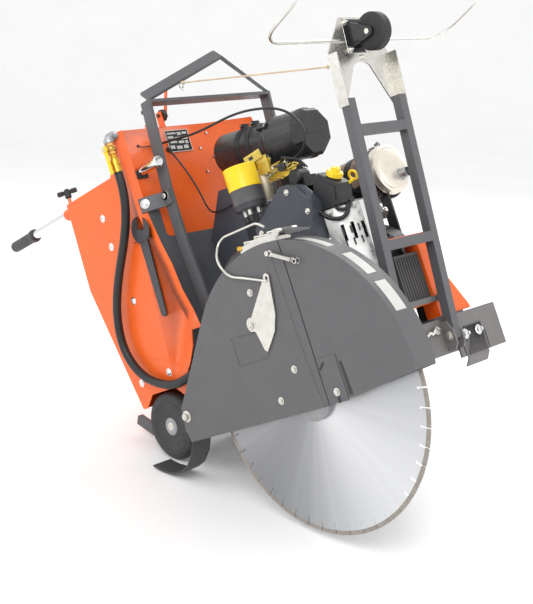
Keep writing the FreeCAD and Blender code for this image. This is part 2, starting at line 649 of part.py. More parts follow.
def water_valve():
    """Elbow, ball valve and hose coupling on the console's right side."""
    x, y = 150, -280
    elbow = rod((x, -PANEL_Y, 790), (x, y, 790), 11).fuse(rod((x, y, 803), (x, y, 770), 12.5))
    valve = Part.makeCylinder(15, 30, V(x, y, 740))
    stem = rod((x, y, 755), (x, y - 24, 755), 5)
    coupling = Part.makeCylinder(12, 20, V(x, y, 722))
    ferrule = Part.makeCylinder(14, 32, V(x, y, 690))
    return fuse([elbow, valve, coupling, ferrule, stem])


def valve_lever():
    """Quarter-turn lever; its hub rides on the valve stem."""
    hub = ring(150, 755, 5 + FIT, 9, -305, -298)
    arm = box(144, 156, -303, -299, 686, 748)
    return fuse([hub, arm.makeFillet(1.5, arm.Edges)])


HOSE = [(150, -280, 690), (150, -280, 640), (128, -281, 575), (84, -282, 510), (30, -283, 450),
        (-20, -283, 385), (-50, -283, 322), (-62, -282, 258), (-48, -281, 200), (-10, -279, 150),
        (46, -277, 120), (104, -275, 105), (156, -271.5, 110), (205, -254, 129), (250, -248, 165),
        (292, -248, 208), (333, -249, 252), (374, -250, 289), (411, -258, 318), (453, -269, 339),
        (498, -281, 351), (543.2, -292.8, 353.1)]
HOSE_D = 24.0


def water_hose():
    return tube(HOSE, HOSE_D / 2, "water hose")


THROTTLE = [(169.5, -146, 746), (212, -143, 741), (257, -138, 733), (303, -131, 725), (350, -123, 722),
            (398, -115, 722), (446, -107, 721), (492, -100, 715), (535, -93, 704), (577, -87, 689),
            (613, -80, 666), (637, -76, 634), (645, -74, 600), (632, -72, 571), (603, -70, 555),
            (571, -68, 553), (544.5, -66, 554)]
THROTTLE_D = 6.5
CHOKE = [(169.5, -104, 732), (179, -98, 708), (188, -90, 677), (196, -82, 642), (203, -76, 607),
         (210, -74, 573), (222, -79, 542), (249, -91, 520), (284, -97, 512), (322, -98, 510),
         (360, -103, 511), (395, -113, 514), (424, -125.5, 516)]
CHOKE_D = 5.0


def throttle_cable():
    return tube(THROTTLE, THROTTLE_D / 2, "throttle cable")


def choke_cable():
    return tube(CHOKE, CHOKE_D / 2, "choke cable")


ROPE = ((297.0, -101.0, 874.0), (814.2, -108.6, 696.8))


def rope():
    """Taut line from the bail's eyelet to the pointer's head."""
    print("rope length", round((V(*ROPE[1]) - V(*ROPE[0])).Length), "straight")
    return rod(*ROPE, 2.5)


def wrench():
    """Open-ended spanner on the right side panel, held by a bent wire clip."""
    y0, y1 = -PANEL_Y - 4, -PANEL_Y
    shank = plate_y([(122, 300), ("arc", (133, 287), (145, 300)), (160, 510), (125, 510)], y0, y1)
    head = disc(142, 527, 38, y0, y1)
    head = head.cut(plate_y([(131, 532), (157, 524), (176, 580), (148, 590)], y0 - 1, y1 + 1))
    clip = tube([(100, y1 - 1.6, 503), (104, y1 - 8, 502.6), (140, y1 - 10, 499), (172, y1 - 8, 495.4),
                 (176, y1 + 2, 495)], 1.5)
    return group([fuse([shank, head]), clip])


def splash_flap():
    """Rubber flap hanging from the guard's rear edge and curling back along the floor."""
    level = [(183, 36), (176, -10), (158, -48), (128, -74), (92, -87), (52, -91.5), (14, -89)]
    points = [from_floor_frame(*p) for p in level]
    low = from_floor_frame(184, 34)
    return plate_y(strip(points, -4), GUARD_OUT + 4, GUARD_BACK - 4).cut(
        plate_y(guard_profile(False), GUARD_OUT, GUARD_BACK))


def hex_head(x, z, y_face, sign, across=13.0, high=7.0):
    r = across / math.sqrt(3)
    pts = [polar((x, z), r, 60 * i) for i in range(6)]
    return plate_y(pts, *sorted((y_face, y_face + sign * high)))


def fasteners():
    """Visible bolts and pins of the guard, panels and brackets."""
    solids = []
    for x, z in ((561, 252), (626, 51), (552, -10)):
        solids.append(hex_head(x, z, GUARD_OUT, -1, 11, 5))
    pivot = disc(536, 178, 6, GUARD_OUT - 9, GUARD_OUT).fuse(hex_head(536, 178, GUARD_OUT - 6, -1, 17, 6))
    solids.append(pivot)
    solids.append(disc(666, 319, 5, GUARD_OUT - 14, GUARD_OUT))
    solids.append(hex_head(190, 17, GUARD_OUT, -1, 20, 12))
    for x, z in ((-7, 607), (-7, 524), (17, 360), (75, 143), (-59, 139)):
        for sign in (-1, 1):
            solids.append(hex_head(x, z, sign * PANEL_Y, sign, 10, 4))
    solids.append(hex_head(219, 592, BAIL_RIGHT - 16, -1, 15, 8))
    solids.append(hex_head(219, 592, BAIL_LEFT + 10, 1, 15, 8))
    return group(solids)


# ---- moving pieces ------------------------------------------------------------------
def blade_core():
    """Steel disc with keyhole gullets between the segments."""
    half = 1.8
    core = disc(BLADE_X, BLADE_Z, BLADE_R - 10, BLADE_Y - half, BLADE_Y + half)
    core = core.cut(disc(BLADE_X, BLADE_Z, 12.7 + FIT, BLADE_Y - 3, BLADE_Y + 3))
    slots = []
    for i in range(SEGMENTS):
        a = 360.0 * i / SEGMENTS
        slot = box(BLADE_R - 24, BLADE_R, BLADE_Y - 3, BLADE_Y + 3, -1.7, 1.7)
        slot = slot.fuse(Part.makeCylinder(3.2, 6, V(BLADE_R - 24, BLADE_Y - 3, 0), V(0, 1, 0)))
        slot.rotate(V(0, 0, 0), V(0, 1, 0), -a)
        slot.translate(V(BLADE_X, 0, BLADE_Z))
        slots.append(slot)
    return core.cut(Part.makeCompound(slots))




def blade_segments():
    half, pitch = 2.2, 360.0 / SEGMENTS
    gap = math.degrees(3.4 / (BLADE_R - 5))
    solids = []
    c = (BLADE_X, BLADE_Z)
    for i in range(SEGMENTS):
        a0, a1 = i * pitch + gap / 2, (i + 1) * pitch - gap / 2
        r0, r1 = BLADE_R - 10, BLADE_R
        solids.append(plate_y([polar(c, r0, a0), ("arc", polar(c, r0, (a0 + a1) / 2), polar(c, r0, a1)),
                               polar(c, r1, a1), ("arc", polar(c, r1, (a0 + a1) / 2), polar(c, r1, a0))],
                              BLADE_Y - half, BLADE_Y + half))
    return group(solids)


def blade_shaft():
    """Arbor with its inner and outer flanges, nut and drive sheave."""
    x, z = BLADE_X, BLADE_Z
    shaft = disc(x, z, 17, -254, -78).fuse(disc(x, z, 12.7, -327, -254))
    inner = disc(x, z, 21, -285, -254).fuse(disc(x, z, 58, BLADE_Y + 1.8, -285))
    outer = disc(x, z, 58, -314, BLADE_Y - 1.8)
    nut = hex_head(x, z, -314, -1, 40, 12)
    sheave = sheave_disc(x, z, BLADE_SHEAVE_R)
    return group([fuse([shaft, inner, outer, nut, sheave])])


def sheave_disc(x, z, radius):
    return disc(x, z, radius, SHEAVE_Y0, SHEAVE_Y1)


def crankshaft():
    """Engine output shaft and its sheave."""
    x, z = CRANK
    return fuse([disc(x, z, 20, SHEAVE_Y1, 55), sheave_disc(x, z, CRANK_SHEAVE_R)])


def wheel_tyre(x, z, r, y0, y1, rim_r, round_r):
    tyre = ring(x, z, rim_r, r, y0, y1)
    edges = [e for e in tyre.Edges if e.Curve.TypeId == "Part::GeomCircle" and abs(e.Curve.Radius - r) < 0.1]
    return tyre.makeFillet(round_r, edges)


def rear_tyres():
    tyre = wheel_tyre(0, 0, REAR_R, 211, 252, 68, 9)
    return group([tyre, mirror(tyre)])


def rear_axle():
    """Live axle with both wheel rims and hubs."""
    parts = [disc(0, 0, 14, -250, 250)]
    for sign in (1, -1):
        y = sorted((sign * 215, sign * 248))
        web = sorted((sign * 222, sign * 228))
        hub = sorted((sign * 206, sign * 251))
        parts += [ring(0, 0, 58, 68, *y), disc(0, 0, 60, *web), disc(0, 0, 27, *hub)]
    return fuse(parts)


def arm_point(radius, offset=0.0):
    return polar(ARM_PIVOT, radius, ARM_DOWN + offset)


def front_arm():
    """Front axle arm, lowered: pivot shaft, arm, axle eye and the lug that the cylinder pushes."""
    px, pz = ARM_PIVOT
    wx, wz = arm_point(ARM_LEN)
    u = V(wx - px, 0, wz - pz).normalize()
    n = V(-u.z, 0, u.x)
    p, q = V(px, ARM_Y - 12, pz), V(wx, ARM_Y - 12, wz)
    bar = Part.Face(Part.makePolygon([p + n * 19, q + n * 15, q - n * 15, p - n * 19, p + n * 19]))
    bar = bar.extrude(V(0, 24, 0))
    hub = disc(px, pz, 21, -31, 47).fuse(disc(px, pz, 12, -40, 56))
    eye = disc(wx, wz, 19, ARM_Y - 12, ARM_Y + 12)
    lx, lz = polar(ARM_PIVOT, LUG_R, LUG_REST)
    d = V(lx - px, 0, lz - pz).normalize()
    m = V(-d.z, 0, d.x)
    a, b = V(px, ARM_Y - 8, pz), V(lx, ARM_Y - 8, lz)
    lug = Part.Face(Part.makePolygon([a + m * 17, b + m * 11, b - m * 11, a - m * 17, a + m * 17]))
    lug = lug.extrude(V(0, 16, 0)).fuse(disc(lx, lz, 11, ARM_Y - 8, ARM_Y + 8))
    pin = disc(lx, lz, LUG_PIN_R, ARM_Y - 20, ARM_Y + 20)
    arm = fuse([bar, hub, eye, lug, pin])
    return arm.cut(disc(wx, wz, 10 + FIT, ARM_Y - 30, ARM_Y + 30))


def lift_rod():
    """Piston rod with its slotted crosshead, pushed out to hold the arm down."""
    lx, lz = polar(ARM_PIVOT, LUG_R, LUG_REST)
    z = 95.0
    half = LUG_PIN_R + 1.6
    rod_bar = rod((lx - 151, ARM_Y, z), (lx - 22, ARM_Y, z), 11)
    cheeks = []
    for y0 in (ARM_Y - 19, ARM_Y + 9):
        cheek = box(lx - 34, lx + 17, y0, y0 + 10, z - 20, z + 22)
        cheeks.append(cheek.cut(box(lx - half, lx + half, y0 - 1, y0 + 11, z - 16, z + 17)))
    yoke = box(lx - 34, lx - 24, ARM_Y - 9, ARM_Y + 9, z - 12, z + 12)
    return fuse([rod_bar, yoke] + cheeks)


def front_wheels():
    """Pair of solid-tyred wheels keyed on one axle through the arm's eye."""
    wx, wz = arm_point(ARM_LEN)
    axle = disc(wx, wz, 10, ARM_Y - 52, ARM_Y + 52)
    parts = [axle]
    for y0 in (ARM_Y - 50, ARM_Y + 16):
        wheel = ring(wx, wz, 9.9, FRONT_R, y0, y0 + 34)
        edges = [e for e in wheel.Edges if e.Curve.TypeId == "Part::GeomCircle"
                 and abs(e.Curve.Radius - FRONT_R) < 0.1]
        parts.append(wheel.makeFillet(6, edges))
    return fuse(parts)


def stand_pointer(shape):
    """Place a pointer piece, drawn upright on its pivot, at its rest lean."""
    shape = shape.copy()
    shape.rotate(V(0, 0, 0), V(0, 1, 0), POINTER_LEAN)
    shape.translate(V(POINTER_PIVOT[0], 0, POINTER_PIVOT[1]))
    return shape


def pointer_ladder():
    """Two square-tube legs and their two rungs."""
    w = LEG_W / 2
    leg = box(-w, w, POINTER_Y - w, POINTER_Y + w, -9, 602)
    leg = leg.cut(box(-w + 2, w - 2, POINTER_Y - w + 2, POINTER_Y + w - 2, 20, 603))
    leg = leg.cut(disc(0, 0, POINTER_PIN_R + FIT, 60, 130))
    rungs = [box(-w, w, -POINTER_Y + w, POINTER_Y - w, z, z + 25) for z in (236, 514)]
    return stand_pointer(group([leg, mirror(leg)] + rungs))


def pointer_arch():
    """Plated head bracket behind the legs: side flanges, tapered opening and the caster seat."""
    w = LEG_W / 2
    y0 = POINTER_Y + w + 0.2
    back, front = -w - 4.2, -w - 0.2
    half = [(y0 + 3, 585), (y0 + 3, 715), (44, 802)]
    other = [(-y, z) for y, z in half[::-1]]
    face = plate_x(half + other + [(-88, 585), (-29, 684), ("arc", (0, 692), (29, 684)), (88, 585)],
                   back, front)
    flange = box(front, w, y0, y0 + 3, 585, 712)
    seat = box(front, front + 1.5, -38, 38, 714, 796)
    body = fuse([face, flange, mirror(flange), seat])
    body = body.cut(rod((back - 1, 0, SWIVEL_Z), (10, 0, SWIVEL_Z), 7 + FIT))
    return stand_pointer(group([body]))


def pointer_rods():
    """Sighting rods: out sideways from the head, then forward to a pointed tip."""
    x, z = -LEG_W / 2 + 3.8, 742
    path = [(x, 50, z), (x, 325, z), (x + 118, 325, z + 44)]
    bar = tube(path, 4)
    tip = Part.makeCone(4, 0.6, 16, V(*path[2]), V(118, 0, 44))
    bar = fuse([bar, tip])
    return stand_pointer(group([bar, mirror(bar)]))


def caster_fork():
    """Swivel fork of the pointer's caster, its stem along the head's forward axis."""
    x0 = -LEG_W / 2 + 1.4
    stem = rod((x0 - 11, 0, SWIVEL_Z), (x0 + 2, 0, SWIVEL_Z), 7)
    collar = rod((x0 - 9, 0, SWIVEL_Z), (x0 - 6, 0, SWIVEL_Z), 12)
    base = box(x0, x0 + 5, -25, 25, 722, 792)
    legs = []
    for y0 in (-25, 21):
        legs.append(plate_y([(x0 + 5, 726), (x0 + 5, 788), (CASTER_X + 2, CASTER_Z + 12),
                             ("arc", (CASTER_X + 11, CASTER_Z), (CASTER_X + 2, CASTER_Z - 12))], y0, y0 + 4))
    pin = disc(CASTER_X, CASTER_Z, 5, -28, 28)
    return stand_pointer(fuse([stem, collar, base, pin] + legs))


def caster_wheel():
    wheel = ring(CASTER_X, CASTER_Z, 5 + FIT, CASTER_R, -17, 17)
    edges = [e for e in wheel.Edges if e.Curve.TypeId == "Part::GeomCircle"
             and abs(e.Curve.Radius - CASTER_R) < 0.1]
    return stand_pointer(wheel.makeFillet(6, edges))


def handlebar():
    """Left handle tube with its end stop and grip sleeve."""
    y, z = HANDLE_Y, HANDLE_Z
    bar = rod((HANDLE_REAR + 4, y, z), (HANDLE_TIP, y, z), HANDLE_R)
    bar = bar.cut(rod((HANDLE_REAR, y, z), (HANDLE_TIP - 10, y, z), HANDLE_R - 2.5))
    stop = rod((HANDLE_TIP - 14, y, z), (HANDLE_TIP + 2, y, z), HANDLE_R + 3)
    grip = rod((HANDLE_REAR, y, z), (GRIP_FRONT, y, z), HANDLE_R + 4)
    grip = grip.cut(rod((HANDLE_REAR + 4, y, z), (GRIP_FRONT + 1, y, z), HANDLE_R))
    return group([fuse([bar, stop]), grip])


def clamp_knob():
    """T-handled clamp screw of the left handlebar socket."""
    y = HANDLE_Y
    screw = rod((-187, y, HANDLE_Z + HANDLE_R + 0.4), (-187, y, 736), 5)
    bar = rod((-208, y + 21, 741), (-166, y - 21, 741), 6)
    boss = rod((-187, y, 722), (-187, y, 750), 9)
    return fuse([screw, bar, boss])


DASH_N = (-0.787, 0.617)     # outward normal of the dash face, x and z
DASH_C = (111.0, 733.0)      # middle of the dash face


def dash_rod(y, a, b, radius):
    """Cylinder square to the dash face, from height a to b above it."""
    return rod((DASH_C[0] + DASH_N[0] * a, y, DASH_C[1] + DASH_N[1] * a),
               (DASH_C[0] + DASH_N[0] * b, y, DASH_C[1] + DASH_N[1] * b), radius)


def throttle_knob():
    return fuse([dash_rod(-60, -14, 22, 5), dash_rod(-60, 14, 28, 13)])


def stop_button():
    return fuse([dash_rod(0, -16, 16, 11), dash_rod(0, 10, 22, 20)])


def ignition_key():
    key = dash_rod(60, -8, 6, 5.5)
    blade = box(-2, 2, 52, 68, 0, 26)
    blade.rotate(V(0, 0, 0), V(0, 1, 0), math.degrees(math.atan2(DASH_N[0], DASH_N[1])))
    blade.translate(V(DASH_C[0] + DASH_N[0] * 5, 0, DASH_C[1] + DASH_N[1] * 5))
    return fuse([key, blade])


DRIVE_PIVOT = (122.0, 846.0)
SWITCH_PIVOT = (132.0, 834.0)


def drive_lever():
    """Speed and direction lever: slim bar on a pin with its friction discs."""
    x, z = DRIVE_PIVOT
    pin = disc(x, z, 5, -66, -30)
    discs = disc(x, z, 17, -55, -42)
    bar = plate_y([(x - 5, z - 6), (x + 5, z - 8), (172, 920), ("arc", (170, 926), (163, 924))], -42, -38)
    return fuse([pin, discs, bar])


def lift_switch():
    """Small paddle that raises and lowers the nose."""
    x, z = SWITCH_PIVOT
    paddle = box(x - 3, x + 3, -116, -102, 826, 856).fuse(rod((x, -118, z), (x, -100, z), 5))
    cap = rod((x, -124, 856), (x, -94, 856), 6)
    return fuse([paddle, cap])


NODES = {
    "frame_rails": frame_rails, "deck_plate": deck_plate, "front_beam": front_beam,
    "side_panel_left": lambda: side_panel(1), "side_panel_right": lambda: side_panel(-1),
    "console_front_panel": console_front_panel, "console_rear_panel": console_rear_panel,
    "dash_panel": dash_panel, "bail_legs": bail_legs, "bail_top": bail_top,
    "engine_block": engine_block, "belt_guard": belt_guard, "cylinder_baffle": cylinder_baffle,
    "valve_covers": valve_covers, "air_cleaner": air_cleaner,
    "muffler": muffler, "battery_box": battery_box, "front_frame": front_frame,
    "guard_rear": guard_rear, "water_manifold": water_manifold, "guard_front": guard_front,
    "guard_spring": guard_spring, "guard_latch": guard_latch, "arbor_housing": arbor_housing,
    "transaxle": transaxle, "fuel_tank": fuel_tank, "drive_belts": drive_belts,
    "lift_cylinder": lift_cylinder, "water_valve": water_valve, "valve_lever": valve_lever,
    "water_hose": water_hose, "rope": rope, "throttle_cable": throttle_cable,
    "choke_cable": choke_cable, "wrench": wrench, "splash_flap": splash_flap,
    "fasteners": fasteners, "blade_core": blade_core, "blade_segments": blade_segments,
    "blade_shaft": blade_shaft, "crankshaft": crankshaft, "rear_tyres": rear_tyres,
    "rear_axle": rear_axle, "front_arm": front_arm, "lift_rod": lift_rod,
    "front_wheels": front_wheels, "pointer_ladder": pointer_ladder, "pointer_arch": pointer_arch,
    "pointer_rods": pointer_rods, "caster_fork": caster_fork, "caster_wheel": caster_wheel,
    "handlebar_left": handlebar, "handlebar_right": lambda: mirror(handlebar()),
    "clamp_knob_left": clamp_knob, "clamp_knob_right": lambda: mirror(clamp_knob()),
    "throttle_knob": throttle_knob, "stop_button": stop_button, "ignition_key": ignition_key,
    "drive_lever": drive_lever, "lift_switch": lift_switch,
}
CORDS = ("water_hose", "rope", "throttle_cable", "choke_cable")


def place_all(shapes):
    """Pitch the chassis, then put the bounding box's bottom centre at the origin."""
    for shape in shapes.values():
        shape.rotate(V(0, 0, 0), V(0, 1, 0), -PITCH)
    bounds = FreeCAD.BoundBox()
    for name, shape in shapes.items():
        if name not in CORDS:
            bounds.add(shape.optimalBoundingBox(False, False))
    shift = V(-bounds.Center.x, -bounds.Center.y, REAR_R)
    for shape in shapes.values():
        shape.translate(shift)
    return shift


def main():
    os.makedirs("parts", exist_ok=True)
    shapes = {name: make().copy() for name, make in NODES.items()}
    shift = place_all(shapes)
    for name, shape in shapes.items():
        if not shape.isValid() or shape.Volume <= 0:
            print("CHECK", name, shape.isValid(), shape.Volume)
        shape.exportStep(f"parts/{name}.step")
    print("nodes", len(shapes), "origin shift", [round(c, 3) for c in shift])
    return shift


SHIFT = main()
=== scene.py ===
import bmesh
import bpy
import json
import math
import random
from mathutils import Matrix, Vector


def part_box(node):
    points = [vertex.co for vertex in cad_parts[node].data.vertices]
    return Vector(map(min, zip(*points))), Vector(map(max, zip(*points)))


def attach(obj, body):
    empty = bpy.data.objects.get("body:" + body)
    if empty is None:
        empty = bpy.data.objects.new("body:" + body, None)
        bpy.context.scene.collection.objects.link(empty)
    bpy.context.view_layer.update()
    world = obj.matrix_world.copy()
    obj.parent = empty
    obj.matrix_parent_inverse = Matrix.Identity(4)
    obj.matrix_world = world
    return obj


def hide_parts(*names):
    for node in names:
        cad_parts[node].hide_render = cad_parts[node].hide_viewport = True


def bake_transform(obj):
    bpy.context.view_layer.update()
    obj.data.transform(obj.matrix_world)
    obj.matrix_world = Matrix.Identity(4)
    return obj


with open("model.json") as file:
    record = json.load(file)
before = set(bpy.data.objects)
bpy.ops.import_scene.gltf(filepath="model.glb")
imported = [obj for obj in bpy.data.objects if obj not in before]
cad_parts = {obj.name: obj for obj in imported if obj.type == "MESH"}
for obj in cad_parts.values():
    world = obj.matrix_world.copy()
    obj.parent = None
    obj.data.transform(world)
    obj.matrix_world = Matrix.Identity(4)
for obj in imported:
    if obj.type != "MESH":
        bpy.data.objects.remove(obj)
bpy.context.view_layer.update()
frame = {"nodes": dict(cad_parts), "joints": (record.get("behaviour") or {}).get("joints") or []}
NODES = frame["nodes"]

# ---- chassis frame: millimetres from the rear axle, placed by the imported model
_low, _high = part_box("rear_tyres")
AXLE = (_low + _high) / 2
FWD = Vector(next(j for j in frame["joints"] if j["name"] == "lift_rod_slide")["axis"])
LEFT = Vector((0, 1, 0))
UP = FWD.cross(LEFT)


def C(x, y, z):
    """Chassis point in mm as a row-frame point in metres."""
    return AXLE + (FWD * x + LEFT * y + UP * z) / 1000


def polar(c, r, deg):
    a = math.radians(deg)
    return (c[0] + r * math.cos(a), c[1] + r * math.sin(a))


# ---- materials
def srgb(r, g, b):
    out = []
    for v in (r, g, b):
        v = v / 255
        out.append(v / 12.92 if v <= 0.04045 else ((v + 0.055) / 1.055) ** 2.4)
    return (*out, 1.0)


def nodes_of(name):
    m = bpy.data.materials.new(name)
    m.use_nodes = True
    t = m.node_tree
    return m, t, t.nodes["Principled BSDF"]


def noise(t, vec, scale, detail=4.0, rough=0.6):
    n = t.nodes.new("ShaderNodeTexNoise")
    n.inputs["Scale"].default_value = scale
    n.inputs["Detail"].default_value = detail
    n.inputs["Roughness"].default_value = rough
    t.links.new(vec, n.inputs["Vector"])
    return n.outputs["Fac"]


def span(t, value, lo, hi, a=0.3, b=0.7):
    n = t.nodes.new("ShaderNodeMapRange")
    n.inputs["From Min"].default_value = a
    n.inputs["From Max"].default_value = b
    n.inputs["To Min"].default_value = lo
    n.inputs["To Max"].default_value = hi
    t.links.new(value, n.inputs["Value"])
    return n.outputs["Result"]


def mix(t, fac, a, b):
    n = t.nodes.new("ShaderNodeMix")
    n.data_type = "RGBA"
    for i, v in ((0, fac), (6, a), (7, b)):
        if hasattr(v, "is_linked"):
            t.links.new(v, n.inputs[i])
        else:
            n.inputs[i].default_value = v
    return n.outputs[2]


def coords(t, stretch=(1, 1, 1), turn=(0, 0, 0)):
    tex = t.nodes.new("ShaderNodeTexCoord")
    m = t.nodes.new("ShaderNodeMapping")
    m.inputs["Scale"].default_value = stretch
    m.inputs["Rotation"].default_value = turn
    t.links.new(tex.outputs["Object"], m.inputs["Vector"])
    return m.outputs["Vector"]


def surface(name, colour, rough=0.45, metal=0.0, blotch=18, spread=0.10, rough_spread=0.10, grain=900,
        bump=0.12, dirt=None, dirt_at=0.66, stretch=(1, 1, 1), coat=0.0, scratch=0.0):
    """Painted, plated or moulded surface: blotchy tone, uneven gloss, fine grain and a little dirt."""
    m, t, p = nodes_of(name)
    vec = coords(t, stretch)
    tone = noise(t, vec, blotch)
    light = tuple(min(1, c * (1 + spread)) for c in colour[:3]) + (1,)
    dark = tuple(c * (1 - spread) for c in colour[:3]) + (1,)
    base = mix(t, span(t, tone, 0, 1), dark, light)
    if dirt:
        patch = noise(t, vec, blotch * 3.7, 8, 0.7)
        base = mix(t, span(t, patch, 0, 0.55, dirt_at, dirt_at + 0.12), base, dirt)
    if scratch:
        lines = noise(t, coords(t, (6, 140, 140), (0.2, 0.5, 0.1)), 14, 3)
        base = mix(t, span(t, lines, 0, scratch, 0.70, 0.74), base, light)
    t.links.new(base, p.inputs["Base Color"])
    fine = noise(t, vec, blotch * 5, 6)
    t.links.new(span(t, fine, max(0.04, rough - rough_spread), rough + rough_spread), p.inputs["Roughness"])
    p.inputs["Metallic"].default_value = metal
    p.inputs["Coat Weight"].default_value = coat
    b = t.nodes.new("ShaderNodeBump")
    b.inputs["Strength"].default_value = bump
    b.inputs["Distance"].default_value = 0.0006
    t.links.new(noise(t, vec, grain, 2), b.inputs["Height"])
    t.links.new(b.outputs["Normal"], p.inputs["Normal"])
    return m


DUST = srgb(168, 158, 146)
M = {"orange": surface("paint_orange", srgb(238, 98, 22), 0.38, spread=0.05, grain=1400, bump=0.10,
        coat=0.15, dirt=srgb(205, 92, 45), dirt_at=0.70), "grey": surface("paint_grey", srgb(84, 86, 90),
        0.42, spread=0.08, grain=1500, bump=0.14, dirt=srgb(120, 118, 114)), "guard": surface("paint_guard",
        srgb(88, 88, 90), 0.47, spread=0.05, grain=1300, bump=0.16, scratch=0.35, dirt=srgb(112, 110, 108),
        dirt_at=0.68), "cover": surface("paint_cover", srgb(62, 66, 74), 0.45, spread=0.08, grain=1200,
        bump=0.15), "beam": surface("paint_beam", srgb(110, 108, 107), 0.50, spread=0.06, grain=1200,
        bump=0.18, dirt=DUST, dirt_at=0.7), "black": surface("paint_black", srgb(34, 35, 37), 0.36,
        spread=0.15, grain=1200, bump=0.12, coat=0.1), "plastic": surface("plastic_black", srgb(40, 41, 43),
        0.48, spread=0.12, grain=2200, bump=0.25), "cleaner": surface("plastic_cleaner", srgb(44, 45, 47),
        0.30, spread=0.12, grain=2600, bump=0.10), "rubber": surface("rubber_black", srgb(38, 38, 39), 0.62,
        spread=0.15, grain=1800, bump=0.3, dirt=srgb(80, 78, 74)), "hose": surface("hose_black", srgb(30, 30,
        32), 0.42, spread=0.12, grain=2200, bump=0.15), "tyre": surface("tyre_rubber", srgb(58, 58, 60),
        0.68, spread=0.15, grain=1500, bump=0.35, dirt=DUST, dirt_at=0.64), "flap": surface("rubber_flap",
        srgb(60, 60, 62), 0.55, spread=0.12, grain=1500, bump=0.3, dirt=srgb(140, 118, 90), dirt_at=0.62),
        "zinc": surface("zinc_plate", srgb(214, 212, 205), 0.30, 1.0, 40, 0.10, 0.10, 900, 0.10),
        "galv": surface("galvanised", srgb(176, 178, 180), 0.40, 1.0, 70, 0.16, 0.12, 700, 0.25),
        "shroud": surface("shroud_plate", srgb(222, 222, 220), 0.34, 1.0, 14, 0.08, 0.10, 700, 0.12),
        "steel": surface("bare_steel", srgb(150, 150, 152), 0.35, 1.0, 60, 0.12, 0.12, 1100, 0.15,
        dirt=srgb(96, 84, 74)), "chrome": surface("chrome", srgb(232, 233, 235), 0.12, 1.0, 30, 0.04, 0.05,
        900, 0.03), "engine": surface("engine_grey", srgb(56, 58, 61), 0.5, 0.1, 40, 0.16, 0.12, 1100, 0.4),
        "brass": surface("brass", srgb(196, 150, 82), 0.28, 1.0, 50, 0.14, 0.10, 900, 0.1, dirt=srgb(120, 84,
        40)), "brass2": surface("brass_yellow", srgb(222, 176, 70), 0.25, 1.0, 50, 0.12, 0.08, 900, 0.08),
        "yellow": surface("plastic_yellow", srgb(246, 208, 22), 0.34, spread=0.06, grain=1800, bump=0.12,
        coat=0.1), "can": surface("filter_can", srgb(84, 84, 86), 0.42, spread=0.10, grain=1500, bump=0.15),
        "gold": surface("yellow_chromate", srgb(214, 190, 96), 0.34, 0.85, 60, 0.22, 0.12, 900, 0.12,
        dirt=srgb(126, 110, 60)), "tan": surface("alloy_tan", srgb(190, 180, 158), 0.45, 0.5, 30, 0.12, 0.1,
        900, 0.25), "cream": surface("muffler_end", srgb(232, 224, 210), 0.32, 0.75, 10, 0.06, 0.08, 900,
        0.08, dirt=srgb(196, 170, 140)), "heat": surface("muffler_body", srgb(150, 128, 112), 0.38, 0.8, 9,
        0.28, 0.12, 900, 0.1, dirt=srgb(92, 66, 52), dirt_at=0.58), "label": surface("label_white", srgb(196,
        195, 191), 0.5, spread=0.05, grain=900, bump=0.03), "plate": surface("data_plate", srgb(36, 36, 38),
        0.35, 0.4, 40, 0.1), "wire_black": surface("wire_black", srgb(28, 28, 30), 0.40, spread=0.12,
        grain=2500, bump=0.1), "red": surface("plastic_red", srgb(196, 24, 18), 0.35, spread=0.08,
        grain=1500, bump=0.1), "hub": surface("wheel_hub", srgb(150, 151, 154), 0.45, spread=0.08,
        grain=1100, bump=0.2, dirt=DUST), "bar": surface("paint_bar", srgb(88, 88, 91), 0.45, spread=0.07,
        grain=1400, bump=0.16, dirt=srgb(122, 118, 114), dirt_at=0.68), "forged": surface("forged_grey",
        srgb(74, 74, 77), 0.5, 0.35, spread=0.12, grain=1000, bump=0.35), "grip": surface("grip_rubber",
        srgb(62, 62, 64), 0.5, spread=0.10, grain=2400, bump=0.3), "copper": surface("copper_thread",
        srgb(206, 132, 92), 0.32, 1.0, 50, 0.12, 0.1, 900, 0.1), "twine": surface("rope_fibre", srgb(206,
        186, 156), 0.8, spread=0.16, grain=2600, bump=0.5), "battery": surface("battery_black", srgb(78, 76,
        76), 0.50, spread=0.08, grain=1500, bump=0.2),}


def linked(t, kind, values=(), links=(), **settings):
    """A shader node with its settings, constant inputs and incoming links."""
    n = t.nodes.new(kind)
    for key, value in settings.items():
        setattr(n, key, value)
    for socket, value in values:
        n.inputs[socket].default_value = value
    for socket, source in links:
        t.links.new(source, n.inputs[socket])
    return n


